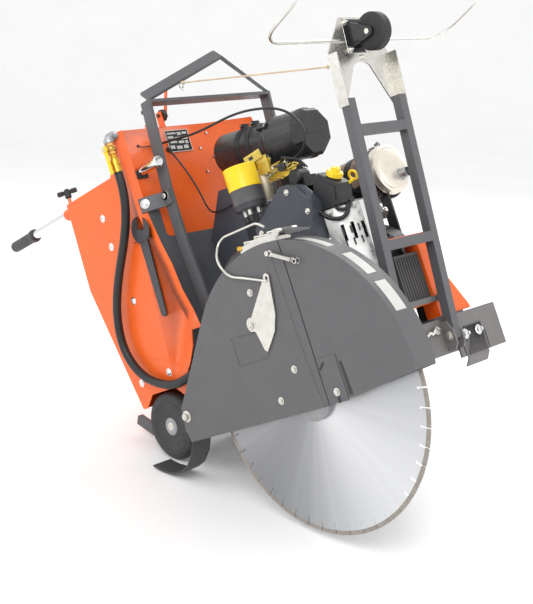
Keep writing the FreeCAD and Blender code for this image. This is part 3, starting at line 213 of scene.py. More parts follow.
def blade_material():
    """Ground steel disc: fine rings, random radial streaks, a painted highlight as bright and dark fans by
    angle, radial anisotropy.
    """
    m, t, p = nodes_of("blade_steel")
    tex = linked(t, "ShaderNodeTexCoord").outputs["Object"]
    off = linked(t, "ShaderNodeVectorMath", ((1, BLADE_C),), ((0, tex),), operation="SUBTRACT").outputs[0]
    sep = linked(t, "ShaderNodeSeparateXYZ", (), ((0, off),)).outputs
    angle = linked(t, "ShaderNodeMath", (), ((0, sep["Z"]), (1, sep["X"])), operation="ARCTAN2").outputs[0]
    length = linked(t, "ShaderNodeVectorMath", (), ((0, off),), operation="LENGTH").outputs["Value"]
    # painted highlight: a fixed cosine of twice the angle about the blade centre lays bright and dark fans
    # into the colour, standing in for the disc's conical reflections
    sheen_phase = linked(t, "ShaderNodeMath", ((1, 2.0), (2, 1.15)), ((0, angle),),
            operation="MULTIPLY_ADD").outputs[0]
    painted_sheen = linked(t, "ShaderNodeMath", (), ((0, sheen_phase),), operation="COSINE").outputs[0]
    ring = linked(t, "ShaderNodeTexNoise", (("Scale", 900), ("Detail", 5)), (), noise_dimensions="1D")
    t.links.new(length, ring.inputs["W"])
    ray = linked(t, "ShaderNodeTexNoise", (("Scale", 7), ("Detail", 6)), (), noise_dimensions="1D")
    t.links.new(angle, ray.inputs["W"])
    streak = span(t, ray.outputs["Fac"], -0.5, 0.5)
    tone = linked(t, "ShaderNodeMath", ((1, 0.2),), ((0, streak), (2, painted_sheen)),
            operation="MULTIPLY_ADD").outputs[0]
    # colour from dark to light grey carries the random streaks plus the painted highlight fans
    base = mix(t, span(t, tone, 0, 1, -1.0, 1.2), srgb(148, 150, 153), srgb(226, 227, 229))
    t.links.new(base, p.inputs["Base Color"])
    t.links.new(span(t, ring.outputs["Fac"], 0.30, 0.42), p.inputs["Roughness"])
    p.inputs["Metallic"].default_value = 1.0
    p.inputs["Anisotropic"].default_value = 0.6
    tangent = linked(t, "ShaderNodeTangent", direction_type="RADIAL", axis="Y")
    t.links.new(tangent.outputs[0], p.inputs["Tangent"])
    bump = linked(t, "ShaderNodeBump", (("Strength", 0.12), ("Distance", 0.0002)), (("Height",
            ring.outputs["Fac"]),))
    t.links.new(bump.outputs["Normal"], p.inputs["Normal"])
    return m


# ---- mesh building, in chassis millimetres
def basis(axis):
    a = Vector(axis).normalized()
    u = a.cross(Vector((0, 1, 0)) if abs(a.y) < 0.9 else Vector((1, 0, 0))).normalized()
    return a, u, a.cross(u)


def lathe(p, axis, profile, n=40, turn=0.0):
    """Turned shape: profile is (distance along the axis, radius) pairs."""
    a, u, w = basis(axis)
    p = Vector(p)
    verts, rows = [], []
    for d, r in profile:
        if r <= 1e-6:
            rows.append([len(verts)])
            verts.append(p + a * d)
            continue
        rows.append(list(range(len(verts), len(verts) + n)))
        for i in range(n):
            s = 2 * math.pi * (i + turn) / n
            verts.append(p + a * d + (u * math.cos(s) + w * math.sin(s)) * r)
    faces = []
    for q, r in zip(rows, rows[1:]):
        for i in range(n):
            j = (i + 1) % n
            if len(q) == 1 and len(r) == 1:
                continue
            if len(q) == 1:
                faces.append((q[0], r[i], r[j]))
            elif len(r) == 1:
                faces.append((q[i], r[0], q[j]))
            else:
                faces.append((q[i], r[i], r[j], q[j]))
    if len(rows[0]) > 1:
        faces.append(tuple(rows[0]))
    if len(rows[-1]) > 1:
        faces.append(tuple(reversed(rows[-1])))
    return verts, faces


def rod(p, q, r, n=24, chamfer=0.0):
    p, q = Vector(p), Vector(q)
    d = (q - p).length
    c = min(chamfer, r * 0.6, d * 0.4)
    prof = [(0, r - c), (c, r), (d - c, r), (d, r - c)] if c else [(0, r), (d, r)]
    return lathe(p, q - p, prof, n)


def prism(axis, outline, a0, a1):
    """Outline in the plane square to the axis, from a0 to a1 along it."""
    def place(p, a):
        return {"x": Vector((a, p[0], p[1])), "y": Vector((p[0], a, p[1])), "z": Vector((p[0], p[1],
                a))}[axis]
    n = len(outline)
    verts = [place(p, a0) for p in outline] + [place(p, a1) for p in outline]
    faces = [tuple(range(n)), tuple(range(2 * n - 1, n - 1, -1))]
    faces += [(i, n + i, n + (i + 1) % n, (i + 1) % n) for i in range(n)]
    return verts, faces


def block(x0, x1, y0, y1, z0, z1):
    return prism("z", [(x0, y0), (x1, y0), (x1, y1), (x0, y1)], z0, z1)


def obox(centre, size, forward=(1, 0, 0), up=(0, 0, 1)):
    f = Vector(forward).normalized()
    s = Vector(up).cross(f).normalized()
    k = f.cross(s)
    c = Vector(centre)
    v, f2 = block(-size[0] / 2, size[0] / 2, -size[1] / 2, size[1] / 2, -size[2] / 2, size[2] / 2)
    return [c + f * p.x + s * p.y + k * p.z for p in v], f2


def smooth_line(points, per=8):
    """Catmull-Rom points through a list."""
    p = [Vector(q) for q in points]
    out = []
    n = len(p)
    for i in range(n - 1):
        a, b, c, d = p[max(i - 1, 0)], p[i], p[i + 1], p[min(i + 2, n - 1)]
        for k in range(per):
            s = k / per
            out.append(0.5 * ((2 * b) + (c - a) * s + (2 * a - 5 * b + 4 * c - d) * s * s
                              + (3 * b - a - 3 * c + d) * s ** 3))
    return out + [p[-1]]


def pipe(points, r, n=10, closed=False):
    """Round section along a line of points."""
    p = [Vector(q) for q in points]
    m = len(p)
    tang = []
    for i in range(m):
        a = p[i - 1] if closed or i else p[0]
        b = p[(i + 1) % m] if closed or i + 1 < m else p[-1]
        tang.append((b - a).normalized())
    _, u, w = basis(tang[0])
    verts, rows = [], []
    for i in range(m):
        u = (u - tang[i] * u.dot(tang[i])).normalized()
        w = tang[i].cross(u)
        rows.append(list(range(len(verts), len(verts) + n)))
        for k in range(n):
            s = 2 * math.pi * k / n
            verts.append(p[i] + (u * math.cos(s) + w * math.sin(s)) * r)
    faces = []
    for q, s in zip(rows, rows[1:] + ([rows[0]] if closed else [])):
        faces += [(q[k], s[k], s[(k + 1) % n], q[(k + 1) % n]) for k in range(n)]
    if not closed:
        faces += [tuple(rows[0]), tuple(reversed(rows[-1]))]
    return verts, faces


def coil(p, q, radius, wire, turns, per=14):
    p, q = Vector(p), Vector(q)
    _, u, w = basis(q - p)
    n = int(turns * per)
    line = []
    for i in range(n + 1):
        s = 2 * math.pi * i / per
        line.append(p + (q - p) * (i / n) + (u * math.cos(s) + w * math.sin(s)) * radius)
    return pipe(line, wire, 8)


def torus(c, axis, big, small, n=36, k=12):
    _, u, w = basis(axis)
    line = [Vector(c) + (u * math.cos(2 * math.pi * i / n) + w * math.sin(2 * math.pi * i / n)) * big
            for i in range(n)]
    return pipe(line, small, k, True)


def bolt(p, axis, across=13.0, high=7.0, washer=True, stud=0.0):
    """Hexagon head with its chamfer, a washer and an optional stud end."""
    a = Vector(axis).normalized()
    p = Vector(p)
    out = []
    base = 0.0
    if washer:
        base = 1.6
        out.append(lathe(p, a, [(0, across * 0.86), (1.1, across * 0.86), (1.6, across * 0.80)], 28))
    r = across / math.sqrt(3)
    out.append(lathe(p + a * base, a, [(0, r), (high * 0.82, r), (high, r * 0.86)], 6))
    out.append(lathe(p + a * (base + high - 0.3), a, [(0, r * 0.72), (0.6, r * 0.66)], 24))
    if stud:
        out.append(rod(p + a * base, p + a * (base + stud), across * 0.27, 16, 1))
    return out


TO_ROW = Matrix(((FWD.x, 0, UP.x, 0), (FWD.y, 1, UP.y, 0), (FWD.z, 0, UP.z, 0), (0, 0, 0, 1)))
SMOOTH_ANGLE, NODE_ANGLE = 35.0, 32.0


def build(name, groups, body, replaces=(), bevel=0.5, ride=True):
    """One piece from {material: [parts]}, in chassis mm, riding on a CAD body."""
    verts, faces, index, mats = [], [], [], []
    for mat_name, parts in groups.items():
        mats.append(M[mat_name])
        for pv, pf in parts:
            base = len(verts)
            verts += [AXLE + (TO_ROW @ Vector(v)) / 1000 for v in pv]
            faces += [tuple(base + i for i in f) for f in pf]
            index += [len(mats) - 1] * len(pf)
    me = bpy.data.meshes.new(name)
    me.from_pydata(verts, [], faces)
    for m in mats:
        me.materials.append(m)
    me.polygons.foreach_set("material_index", index)
    me.shade_smooth()
    ob = bpy.data.objects.new(name, me)
    bpy.context.scene.collection.objects.link(ob)
    tidy_normals(ob)
    if bevel:
        add_bevel(ob, bevel, SMOOTH_ANGLE)
    else:
        me.set_sharp_from_angle(angle=math.radians(SMOOTH_ANGLE))
    if ride:
        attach(ob, body)
    if replaces:
        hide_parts(*replaces)
    return ob


def tidy_normals(ob):
    bm = bmesh.new()
    bm.from_mesh(ob.data)
    bmesh.ops.recalc_face_normals(bm, faces=bm.faces)
    bm.to_mesh(ob.data)
    bm.free()


def add_bevel(ob, width_mm, angle):
    b = ob.modifiers.new("edge", "BEVEL")
    b.width = width_mm / 1000
    b.segments = 2
    b.limit_method = "ANGLE"
    b.angle_limit = math.radians(angle)
    b.harden_normals = True
    b.use_clamp_overlap = True


def finish_node(node, material, bevel):
    """A CAD node kept as it is, with softened edges and its own finish."""
    o = NODES[node]
    me = o.data
    me.materials.clear()
    me.materials.append(M[material])
    for extra in ("custom_normal", "sharp_edge", "sharp_face"):
        if extra in me.attributes:
            me.attributes.remove(me.attributes[extra])
    me.shade_smooth()
    weld = o.modifiers.new("weld", "WELD")
    weld.merge_threshold = 0.00002
    flat = o.modifiers.new("flat", "DECIMATE")
    flat.decimate_type = "DISSOLVE"
    flat.angle_limit = math.radians(0.6)
    add_bevel(o, bevel, NODE_ANGLE)


def spline(name, points_mm, diameter, mat_name):
    """Open NURBS curve with those control points, as a round cord."""
    cu = bpy.data.curves.new(name, "CURVE")
    cu.dimensions = "3D"
    sp = cu.splines.new("NURBS")
    sp.points.add(len(points_mm) - 1)
    for s, p in zip(sp.points, points_mm):
        s.co = (*C(*p), 1.0)
    sp.order_u = 3
    sp.use_endpoint_u = True
    cu.resolution_u = 12
    cu.bevel_depth = diameter / 2000
    cu.bevel_resolution = 6
    cu.use_fill_caps = True
    cu.materials.append(M[mat_name])
    ob = bpy.data.objects.new(name, cu)
    bpy.context.scene.collection.objects.link(ob)
    return ob


def sampled(points_mm):
    """Points along the NURBS line through a route, in chassis mm."""
    ob = spline("probe", points_mm, 2, "hose")
    ob.data.bevel_depth = 0
    bpy.context.view_layer.update()
    curve, me = ob.data, bpy.data.meshes.new_from_object(ob)
    pts = [v.co.copy() for v in me.vertices]
    bpy.data.objects.remove(ob)
    bpy.data.curves.remove(curve)
    bpy.data.meshes.remove(me)
    back = []
    for p in pts:
        d = p - AXLE
        back.append(Vector((d.dot(FWD), d.dot(LEFT), d.dot(UP))) * 1000)
    return back


# ---- camera, floor, light
cam_data = bpy.data.cameras.new("camera")
cam_data.sensor_fit = "AUTO"
cam_data.sensor_width = 36.0
cam_data.lens = 65.07
cam = bpy.data.objects.new("camera", cam_data)
bpy.context.scene.collection.objects.link(cam)
cam.location = AXLE + Vector((2.1784, -2.0450, 1.1009))
aim = AXLE + Vector((0.4005, -0.2788, 0.4355))
cam.rotation_mode = "QUATERNION"
cam.rotation_quaternion = (aim - cam.location).to_track_quat("-Z", "Y")
cam_data.clip_end = 100
bpy.context.scene.camera = cam


def studio():
    sc = bpy.context.scene
    sc.view_settings.view_transform = "Standard"
    world = bpy.data.worlds.new("studio")
    sc.world = world
    world.use_nodes = True
    bg = world.node_tree.nodes["Background"]
    bg.inputs["Color"].default_value = (1, 1, 1, 1)
    bg.inputs["Strength"].default_value = 1.0
    m, t, p = nodes_of("floor_white")
    tone = noise(t, coords(t), 3)
    t.links.new(mix(t, span(t, tone, 0, 1), (0.93, 0.93, 0.93, 1), (0.96, 0.96, 0.96, 1)),
            p.inputs["Base Color"])
    p.inputs["Roughness"].default_value = 0.5
    me = bpy.data.meshes.new("floor")
    verts, faces, rows = [], [], 14
    for i in range(rows + 1):
        if i == 0:
            d, h = -9.0, 0.0
        else:
            a = (i - 1) / (rows - 1) * math.pi / 2
            d, h = 7.0 + 3.0 * math.sin(a), 3.0 * (1 - math.cos(a))
        for side in (-14, 14):
            # runs away from the camera, then curves up
            fwd = Vector((-0.7096, 0.7046, 0))
            across = Vector((0.7046, 0.7096, 0))
            verts.append(fwd * d + across * side + Vector((0, 0, h - 0.0004)))
    top = [v + Vector((0, 0, 9)) for v in verts[-2:]]
    verts += top
    for i in range(rows + 1):
        faces.append((2 * i, 2 * i + 1, 2 * i + 3, 2 * i + 2))
    me.from_pydata(verts, [], faces)
    me.shade_smooth()
    me.materials.append(m)
    ob = bpy.data.objects.new("floor", me)
    sc.collection.objects.link(ob)
    for name, at, size, power, to in (("key", (1.6, -2.6, 3.2), 2.2, 52, (0.1, 0, 0.5)), ("fill", (-2.6,
            -2.4, 2.0), 2.4, 18, (0, 0, 0.5)), ("rim", (-0.6, 2.8, 2.6), 2.4, 62, (0, 0, 0.6)), ("front",
            (3.0, 0.8, 1.4), 1.6, 14, (0.2, 0, 0.5))):
        light = bpy.data.lights.new(name, "AREA")
        light.shape = "SQUARE"
        light.size = size
        light.energy = power
        lo = bpy.data.objects.new(name, light)
        lo.location = at
        lo.rotation_euler = (Vector(to) - Vector(at)).to_track_quat("-Z", "Y").to_euler()
        sc.collection.objects.link(lo)


studio()

# directions in the chassis frame
AHEAD = (1, 0, 0)
ASIDE = (0, 1, 0)
OUTWARD = (0, -1, 0)
UPWARD = (0, 0, 1)
DOWN = (0, 0, -1)

# ---- blade, guard, latch
low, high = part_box("blade_core")
BLADE_C = (low + high) / 2
M["blade"] = blade_material()
M["segment"] = surface("blade_segment", srgb(150, 143, 136), 0.6, 0.35, 60, 0.12, 0.1, 1500, 0.5,
        dirt=srgb(110, 98, 88))
finish_node("blade_core", "blade", 0.2)
finish_node("blade_segments", "segment", 0.3)
finish_node("blade_shaft", "steel", 0.6)
GUARD_OUT = -332.0
SPRING_POST = [(0, 7), (3, 7), (3, 4.4), (11, 4.4), (11, 6), (13.5, 6), (14, 5)]
# where the side sheets are bolted, as (x, z)
SIDE_SCREWS = ((-7, 607), (-7, 524), (17, 360), (75, 143), (-59, 139))
GUARD_C, GUARD_R = (620.0, -5.0), 353.0
finish_node("guard_rear", "guard", 1.4)
finish_node("guard_front", "guard", 1.4)
finish_node("guard_latch", "zinc", 0.6)
finish_node("splash_flap", "flap", 0.6)
finish_node("water_manifold", "zinc", 1.2)


def guard_details():
    y = GUARD_OUT
    bolts = []
    for x, z in ((561, 252), (626, 51), (552, -10)):
        bolts += bolt((x, y, z), OUTWARD, 11, 4)
    bolts += bolt((536, y - 4, 178), OUTWARD, 17, 4.5, True, 8)
    bolts.append(rod((536, y, 178), (536, y - 5, 178), 6, 20))
    bolts += bolt((190, y, 17), OUTWARD, 18, 9)
    bolts.append(lathe((666, y, 319), OUTWARD, SPRING_POST, 24))
    for x, z in SIDE_SCREWS:
        for s in (-1, 1):
            bolts += bolt((x, s * 258, z), (0, s, 0), 10, 3.2)
    for s, face in ((-1, -206), (1, 255)):
        bolts += bolt((219, face, 592), (0, s, 0), 15, 6)
    build("fastener_set", {"zinc": bolts}, "root", ("fasteners",), 0.4)
    # folded seams and the stamped frame on the fixed half
    seam = [prism("y", [(698.4, -50), (699, -50), (699, 338), (698.4, 338)], y - 0.5, y + 0.4)]
    stamp = []
    a, b = (447, 96), (560, 96)
    c, d = (560, 160), (447, 166)
    for p, q in ((a, b), (b, c), (c, d), (d, a)):
        stamp.append(rod((p[0], y - 0.1, p[1]), (q[0], y - 0.1, q[1]), 1.1, 8))
    lines = [rod((684, y - 0.1, -48), (672, y - 0.1, 60), 0.9, 8), rod((672, y - 0.1, 60), (664, y - 0.1,
            330), 0.9, 8)]
    build("guard_seams", {"guard": seam + stamp + lines}, "root", (), 0)
    # service slots near the foot of the front half
    tab = [prism("y", [(703, -48), (764, -48), (764, 58), (703, 58)], y - 2.0, y + 0.5)]
    slot_line = [prism("y", [(770, -38), (781, -38), (776, 40), (769, 40)], y - 0.6, y + 0.3), prism("y",
            [(708, 30), (726, 45), (722, 49), (704, 36)], y - 2.5, y - 1.5), prism("y", [(733, -49), (741,
            -49), (741, -28), (733, -28)], y - 2.5, y - 1.5)]
    build("guard_tab", {"guard": tab, "black": slot_line, "zinc": bolt((737, y - 2, -24), OUTWARD, 11, 4)},
            "guard_front", (), 0.4)
    # blank label patches on the rim of the front half, laid as thin curved sheets
    patches = []
    for a0, a1, y0, y1 in ((72, 55, -312, -290), (48, 35, -313, -284), (31, 18, -316, -282)):
        steps = 14
        verts = []
        for i in range(steps + 1):
            ang = a0 + (a1 - a0) * i / steps
            for r in (GUARD_R + 0.15, GUARD_R + 0.55):
                p = polar(GUARD_C, r, ang)
                verts += [Vector((p[0], y0, p[1])), Vector((p[0], y1, p[1]))]
        faces = []
        for i in range(steps):
            k, n = 4 * i, 4 * i + 4
            faces += [(k + 2, n + 2, n + 3, k + 3), (k, k + 1, n + 1, n), (k, n, n + 2, k + 2), (k + 1,
                k + 3, n + 3, n + 1)]
        faces += [(0, 2, 3, 1), (4 * steps, 4 * steps + 1, 4 * steps + 3, 4 * steps + 2)]
        patches.append((verts, faces))
    build("guard_labels", {"label": patches}, "guard_front", (), 0)
    post = [lathe((744, y, 279), OUTWARD, SPRING_POST, 24)]
    build("spring_post", {"zinc": post}, "guard_front", (), 0.3)


guard_details()


def spring():
    p, q = Vector((670, -341, 317)), Vector((740, -341, 281))
    d = (q - p).normalized()
    body = coil(p + d * 9, q - d * 9, 4.3, 0.95, 30)
    hooks = [torus(p + d * 3, ASIDE, 5.2, 0.95, 20, 8), torus(q - d * 3, ASIDE, 5.2, 0.95, 20, 8)]
    ob = build("guard_tension_spring", {"zinc": [body] + hooks}, "root", ("guard_spring",), 0,
            ride=False)
    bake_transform(ob)


spring()

# ---- plain CAD pieces with their own finish
for finish, edge, names in (("orange", 0.8,
        "side_panel_left side_panel_right console_front_panel console_rear_panel dash_panel" " front_frame"),
        ("grey", 1.0, "frame_rails deck_plate transaxle arbor_housing lift_cylinder"), ("bar", 1.1,
        "bail_legs bail_top pointer_ladder"), ("beam", 0.8, "front_beam"), ("beam", 1.0, "front_arm"),
        ("forged", 0.8, "wrench"), ("battery", 0.6, "battery_box"), ("cover", 2.0, "belt_guard"), ("shroud",
        0.5, "cylinder_baffle"), ("engine", 0.8, "engine_block"), ("plastic", 1.0, "fuel_tank"), ("rubber",
        0.6, "drive_belts"), ("chrome", 0.6, "lift_rod"), ("steel", 0.6, "crankshaft"), ("yellow", 0.6,
        "valve_lever"), ("zinc", 0.8, "pointer_arch"), ("zinc", 0.3, "pointer_rods"), ("plastic", 1.0,
        "throttle_knob"), ("red", 1.5, "stop_button"), ("chrome", 0.4, "ignition_key"), ("plastic", 1.0,
        "lift_switch")):
    for node in names.split():
        finish_node(node, finish, edge)


# ---- console fittings
HANDLE_Y, HANDLE_Z = 222.0, 679.0
FRONT_X = 168.0


def console():
    x = FRONT_X
    face = [block(x, x + 0.8, -98, -19, 724, 784)]
    pale = []
    for y0, y1, z0, z1 in ((-94, -62, 774, 779), (-58, -44, 770, 779), (-40, -24, 772, 779), (-94, -74, 762,
            769), (-70, -50, 758, 765), (-46, -24, 757, 766), (-90, -66, 748, 754), (-60, -40, 746, 753),
            (-36, -26, 744, 753), (-94, -78, 732, 742), (-72, -52, 730, 739), (-46, -30, 730, 740)):
        pale.append(block(x + 0.6, x + 1.1, y0, y1, z0, z1))
    rim = [block(x, x + 1.2, -99.5, -98, 722.5, 785.5), block(x, x + 1.2, -19, -17.5, 722.5, 785.5),
           block(x, x + 1.2, -98, -19, 722.5, 724), block(x, x + 1.2, -98, -19, 784, 785.5)]
    build("data_plate", {"plate": face, "label": pale, "zinc": rim}, "root", (), 0)
    rings = [torus((x + 0.5, -146, 745), AHEAD, 8, 3), torus((x + 0.5, -104, 732), AHEAD, 5, 2)]
    tie = [pipe(smooth_line([(x + 1.5, -150, 746), (x + 4, -165, 746), (x + 5, -190, 745), (x + 5, -206,
            748)]), 1.6), obox((x + 5, -207, 749), (4, 7, 7))]
    mouths = [block(167.0, 169.2, -243, -200, 660, 682), block(186.0, 188.2, 200, 244, 660, 682)]
    build("panel_rubbers", {"rubber": rings + tie + mouths}, "root", (), 0.4)
    # pressed crease and the round-head screws of the side sheets
    crease = [rod((-58, -258.2, 220), (60, -258.2, 183), 1.1, 8), rod((60, -258.2, 183), (168, -258.2, 139),
            1.1, 8)]
    build("side_crease", {"orange": crease}, "root", (), 0)
    heads = []
    for px, pz in SIDE_SCREWS:
        for side in (-1, 1):
            heads.append(lathe((px, side * 258, pz), (0, side, 0), [(0, 11), (1.4, 11), (1.4, 8.5), (3.4,
                7.4), (4.6, 5), (5, 0)], 30))
    for y, z in ((52, 769), (13, 726), (54, 697), (13, 656)):
        heads.append(lathe((x, y, z), AHEAD, [(0, 3.4), (0.5, 3.2), (0.7, 0)], 16))
    build("panel_screws", {"chrome": heads}, "root", (), 0.3)


console()


def valve():
    x, y = 150.0, -280.0
    bend = smooth_line([(x, -252, 790), (x, -266, 790), (x, -276, 787), (x, -280, 779), (x, -280, 768)], 8)
    elbow = [pipe(bend, 11.5, 20), lathe((x, -258.2, 790), OUTWARD, [(0, 14.5), (7, 14.5), (8, 12)], 28),
            lathe((x, y, 783), DOWN, [(0, 12), (2, 14.5), (11, 14.5), (12, 13)], 28)]
    body = [lathe((x, y, 770), DOWN, [(0, 14), (7, 14), (7, 11)], 6), lathe((x, y, 765), DOWN, [(0, 11), (4,
            14), (10, 15), (16, 14), (20, 11)], 28), lathe((x, y, 746), DOWN, [(0, 11), (0, 13.5), (6, 13.5),
            (6, 11)], 6), rod((x, y, 755), (x, y - 25, 755), 5), rod((x, y - 8, 755), (x, y - 17, 755), 8, 6)]
    tail = [lathe((x, y, 741), DOWN, [(0, 10), (3, 12), (6, 10.5), (9, 12), (12, 10.5), (14, 12), (19, 12)],
            28), lathe((x, y, 722), DOWN, [(0, 13), (0, 14.6), (12, 14.6), (12, 13), (18, 13), (18, 14.2),
            (22, 14.2), (22, 13.2), (32, 13.2)], 30)]
    build("valve_parts", {"galv": elbow, "brass": body, "brass2": tail}, "root", ("water_valve",),
            0.5)
    build("valve_nut", {"zinc": [lathe((x, y - 25, 755), OUTWARD, [(-3, 6), (1, 6)], 6)]}, "root",
            (), 0.3)


valve()


def knobs():
    for side, sign in (("left", 1), ("right", -1)):
        y = sign * HANDLE_Y
        a, b = Vector((-208, y + sign * 21, 741)), Vector((-166, y - sign * 21, 741))
        d = (b - a).normalized()
        grips = [lathe(a, d, [(0, 4), (1.5, 7.5), (16, 7.5), (19, 5.5), (40, 5.5), (43, 7.5), (58, 7.5),
                (59.4, 4)], 8)]
        boss = lathe((-187, y, 722), UPWARD, [(0, 7), (3, 10), (24, 10), (28, 7), (30, 0)], 8)
        screw = rod((-187, y, HANDLE_Z + 13.5), (-187, y, 724), 4.9, 20)
        threads = [torus((-187, y, 697 + 2.6 * i), UPWARD, 4.8, 0.5, 20, 6) for i in range(9)]
        build("t_knob_" + side, {"plastic": grips + [boss], "copper": [screw] + threads},
                "clamp_knob_" + side, ("clamp_knob_" + side,), 0.6)
        rear, front, tip = -552.0, -415.0, 254.0
        tube = lathe((front - 2, y, HANDLE_Z), AHEAD, [(0, 10), (0, 13), (tip - front - 12, 13),
                (tip - front - 12, 15.6), (tip - front + 1, 15.6), (tip - front + 4, 13), (tip - front + 4,
                0)], 36)
        grip = lathe((rear, y, HANDLE_Z), AHEAD, [(0, 0), (0.6, 9), (3, 13.5), (8, 16.4), (14, 17), (112,
                16.2), (118, 16.2), (121, 19.5), (131, 20.5), (137, 19.5), (137, 13)], 36)
        ribs = [torus((rear + 30 + 9 * i, y, HANDLE_Z), AHEAD, 16.4, 0.6, 36, 6) for i in range(9)]
        build("handle_" + side, {"chrome": [tube], "grip": [grip] + ribs}, "handlebar_" + side,
              ("handlebar_" + side,), 0.5)


knobs()


def lever():
    x, z = 122.0, 846.0
    bar = prism("y", [(x - 5, z - 6), (x + 5, z - 8), (172, 920), (171, 925), (167, 926.5), (163, 924)],
            -42, -38)
    discs = [lathe((x, -55, z), ASIDE, [(0, 14), (1.5, 17), (11.5, 17), (13, 14)], 32)]
    arm = [rod((x, -66, z), (x, -55, z), 5, 20)]
    nut = bolt((x, -38, z), ASIDE, 11, 6, True)
    build("speed_lever", {"orange": [bar], "plastic": discs + arm, "zinc": nut}, "drive_lever",
            ("drive_lever",), 0.4)


lever()


def links():
    n = Vector((0.629, -0.777, 0))
    out = bolt(Vector((171.6, -240.6, 588)) + n * 6.0, n, 15, 5)
    out += bolt((219, -206, 592), OUTWARD, 15, 5)
    out += bolt((219, 255, 592), ASIDE, 15, 5)
    out += [rod((219, -200, 592), (219, -184, 592), 4.5, 16, 1)]
    n = Vector((0.636, 0.773, 0))
    out += bolt(Vector((178.7, 236.6, 588)) + n * 6.0, n, 15, 5)
    build("link_bolts", {"chrome": out}, "root", (), 0.4)


links()


# ---- engine
def air_cleaner():
    p, q = Vector((253, 30, 672)), Vector((596, 30, 614))
    u = (q - p).normalized()
    side = Vector(ASIDE)
    up = u.cross(side)
    body = [lathe(p, u, [(-14, 0), (-14, 40), (-10, 46), (0, 56), (4, 58), (200, 58)], 64)]
    for d in (86, 128):
        body.append(lathe(p + u * d, u, [(0, 58), (1, 60.5), (17, 60.5), (18, 58)], 64))
    cover = [lathe(p, u, [(196, 58), (198, 63), (206, 66), (211, 66), (213, 64), (300, 64.5), (302, 66),
            (314, 66), (322, 62), (334, 56), (337, 50), (337, 38), (334, 36), (334, 0)], 64)]
    # eight flats on the nose, a raised bar and the clips over the joint
    cover.append(lathe(p + u * 318, u, [(0, 65.5), (8, 65.5), (16, 60), (20, 58), (20, 40)], 8, 0.5))
    cover.append(obox(p + u * 336 + up * 2, (6, 62, 15), u, up))
    clips, steel = [], []
    for deg in (20, 140, 215, 320):
        a = math.radians(deg)
        r = side * math.cos(a) + up * math.sin(a)
        clips.append(obox(p + u * 200 + r * 67, (34, 16, 6), u, r))
        clips.append(obox(p + u * 186 + r * 63, (10, 12, 10), u, r))
        steel.append(rod(p + u * 212 + r * 70 - r.cross(u) * 7, p + u * 212 + r * 70 + r.cross(u) * 7, 1.6,
                10))
    strap = []
    for d in (95, 137):
        strap.append(lathe(p + u * (d - 6), u, [(0, 60.4), (0.4, 61.4), (12, 61.4), (12.4, 60.4)], 64))
        lug = p + u * d + up * 63 - side * 12
        strap.append(obox(lug, (14, 22, 10), u, up))
        steel.append(rod(lug - side * 15, lug + side * 15, 2.2, 12))
    legs = [rod((400, 30, 640), (400, 30, 560), 24, 40), block(330, 350, 60, 72, 66, 608)]
    build("air_canister", {"cleaner": body + cover + clips, "wire_black": strap, "zinc": steel,
            "plastic": legs}, "root", ("air_cleaner",), 0.7)


air_cleaner()


def covers():
    # oil fill box with a step in its face, yellow cap on a black neck, dipstick ring
    side = [(640, 398), (632, 432), (675, 484), (727, 440), (716, 398)]
    shell = [prism("y", side, -111, -62), prism("y", [(648, 404), (642, 430), (674, 470), (716, 437), (708,
            404)], -113, -110.5)]
    skirt = [prism("y", [(636, 394), (636, 404), (720, 404), (718, 394)], -114, -59)]
    u = Vector((44, 0, 52)).normalized()
    seat = Vector((701, -86, 462))
    neck = [lathe(seat - u * 6, u, [(0, 18), (10, 18)], 32)]
    cap = [lathe(seat + u * 2, u, [(0, 19), (1.5, 21), (12, 21), (14.5, 18), (15, 12), (23, 11), (24, 9),
            (24, 0)], 12)]
    cap.append(obox(seat + u * 24, (6, 24, 6), u.cross(Vector(ASIDE)), u))
    ring = [torus((738, -60, 452), (0, 1, 0.3), 11, 3.4, 32, 12), rod((734, -64, 441), (716, -68, 436), 4)]
    rockers, screws = [], []
    for deg in (45, 135):
        a = math.radians(deg)
        uu = Vector((math.cos(a), 0, math.sin(a)))
        ww = Vector((-math.sin(a), 0, math.cos(a)))
        base = Vector((545, 0, 230)) + uu * 201
        rockers.append(obox(base, (22, 92, 76), uu, ww))
        rockers.append(obox(base + uu * 11, (3, 66, 52), uu, ww))
        for i in (-1, 1):
            for j in (-1, 1):
                screws += bolt(base + uu * 11 + ww * 31 * i + Vector((0, 40 * j, 0)), uu, 8, 4)
    # lower filter can and yellow canister above it
    c = Vector((462, -150, 0))
    yellow = [lathe(c + Vector((0, 0, 519)), UPWARD, [(0, 41), (2, 43.4), (8, 42.6), (52, 42.6), (58, 43.4),
            (60, 42), (61, 38), (61, 20), (59, 18), (59, 0)], 48)]
    build("oil_box", {"plastic": shell + skirt + neck, "yellow": cap + ring + yellow, "engine": rockers,
            "zinc": screws}, "root", ("valve_covers",), 0.9)
    can = [lathe(c + Vector((0, 0, 466)), UPWARD, [(0, 30), (0, 37), (6, 39.5), (16, 39.5), (17, 42.4), (50,
            42.4), (52, 43.6), (54, 43.6), (54, 42)], 48)]
    pins = []
    for dx, dy in ((-14, -12), (10, -18), (20, 4)):
        pins.append(lathe(c + Vector((dx, dy, 466)), DOWN, [(0, 6), (14, 5.4), (15, 3.6), (29, 3.2),
                (30, 0)], 16))
    build("filter_can", {"can": can, "zinc": pins}, "root", (), 0.5)
    plate = [obox((489, -118, 592), (50, 2.4, 24), (1, 0.35, 0.18), UPWARD), obox((505, -108, 566), (34, 2.4,
            46), (1, 0.3, 0), UPWARD)]
    slots = [obox((484, -120.6, 592), (13, 1.2, 9), (1, 0.35, 0.18), UPWARD)]
    build("filter_bracket", {"gold": plate, "black": slots}, "root", (), 0.5)


covers()


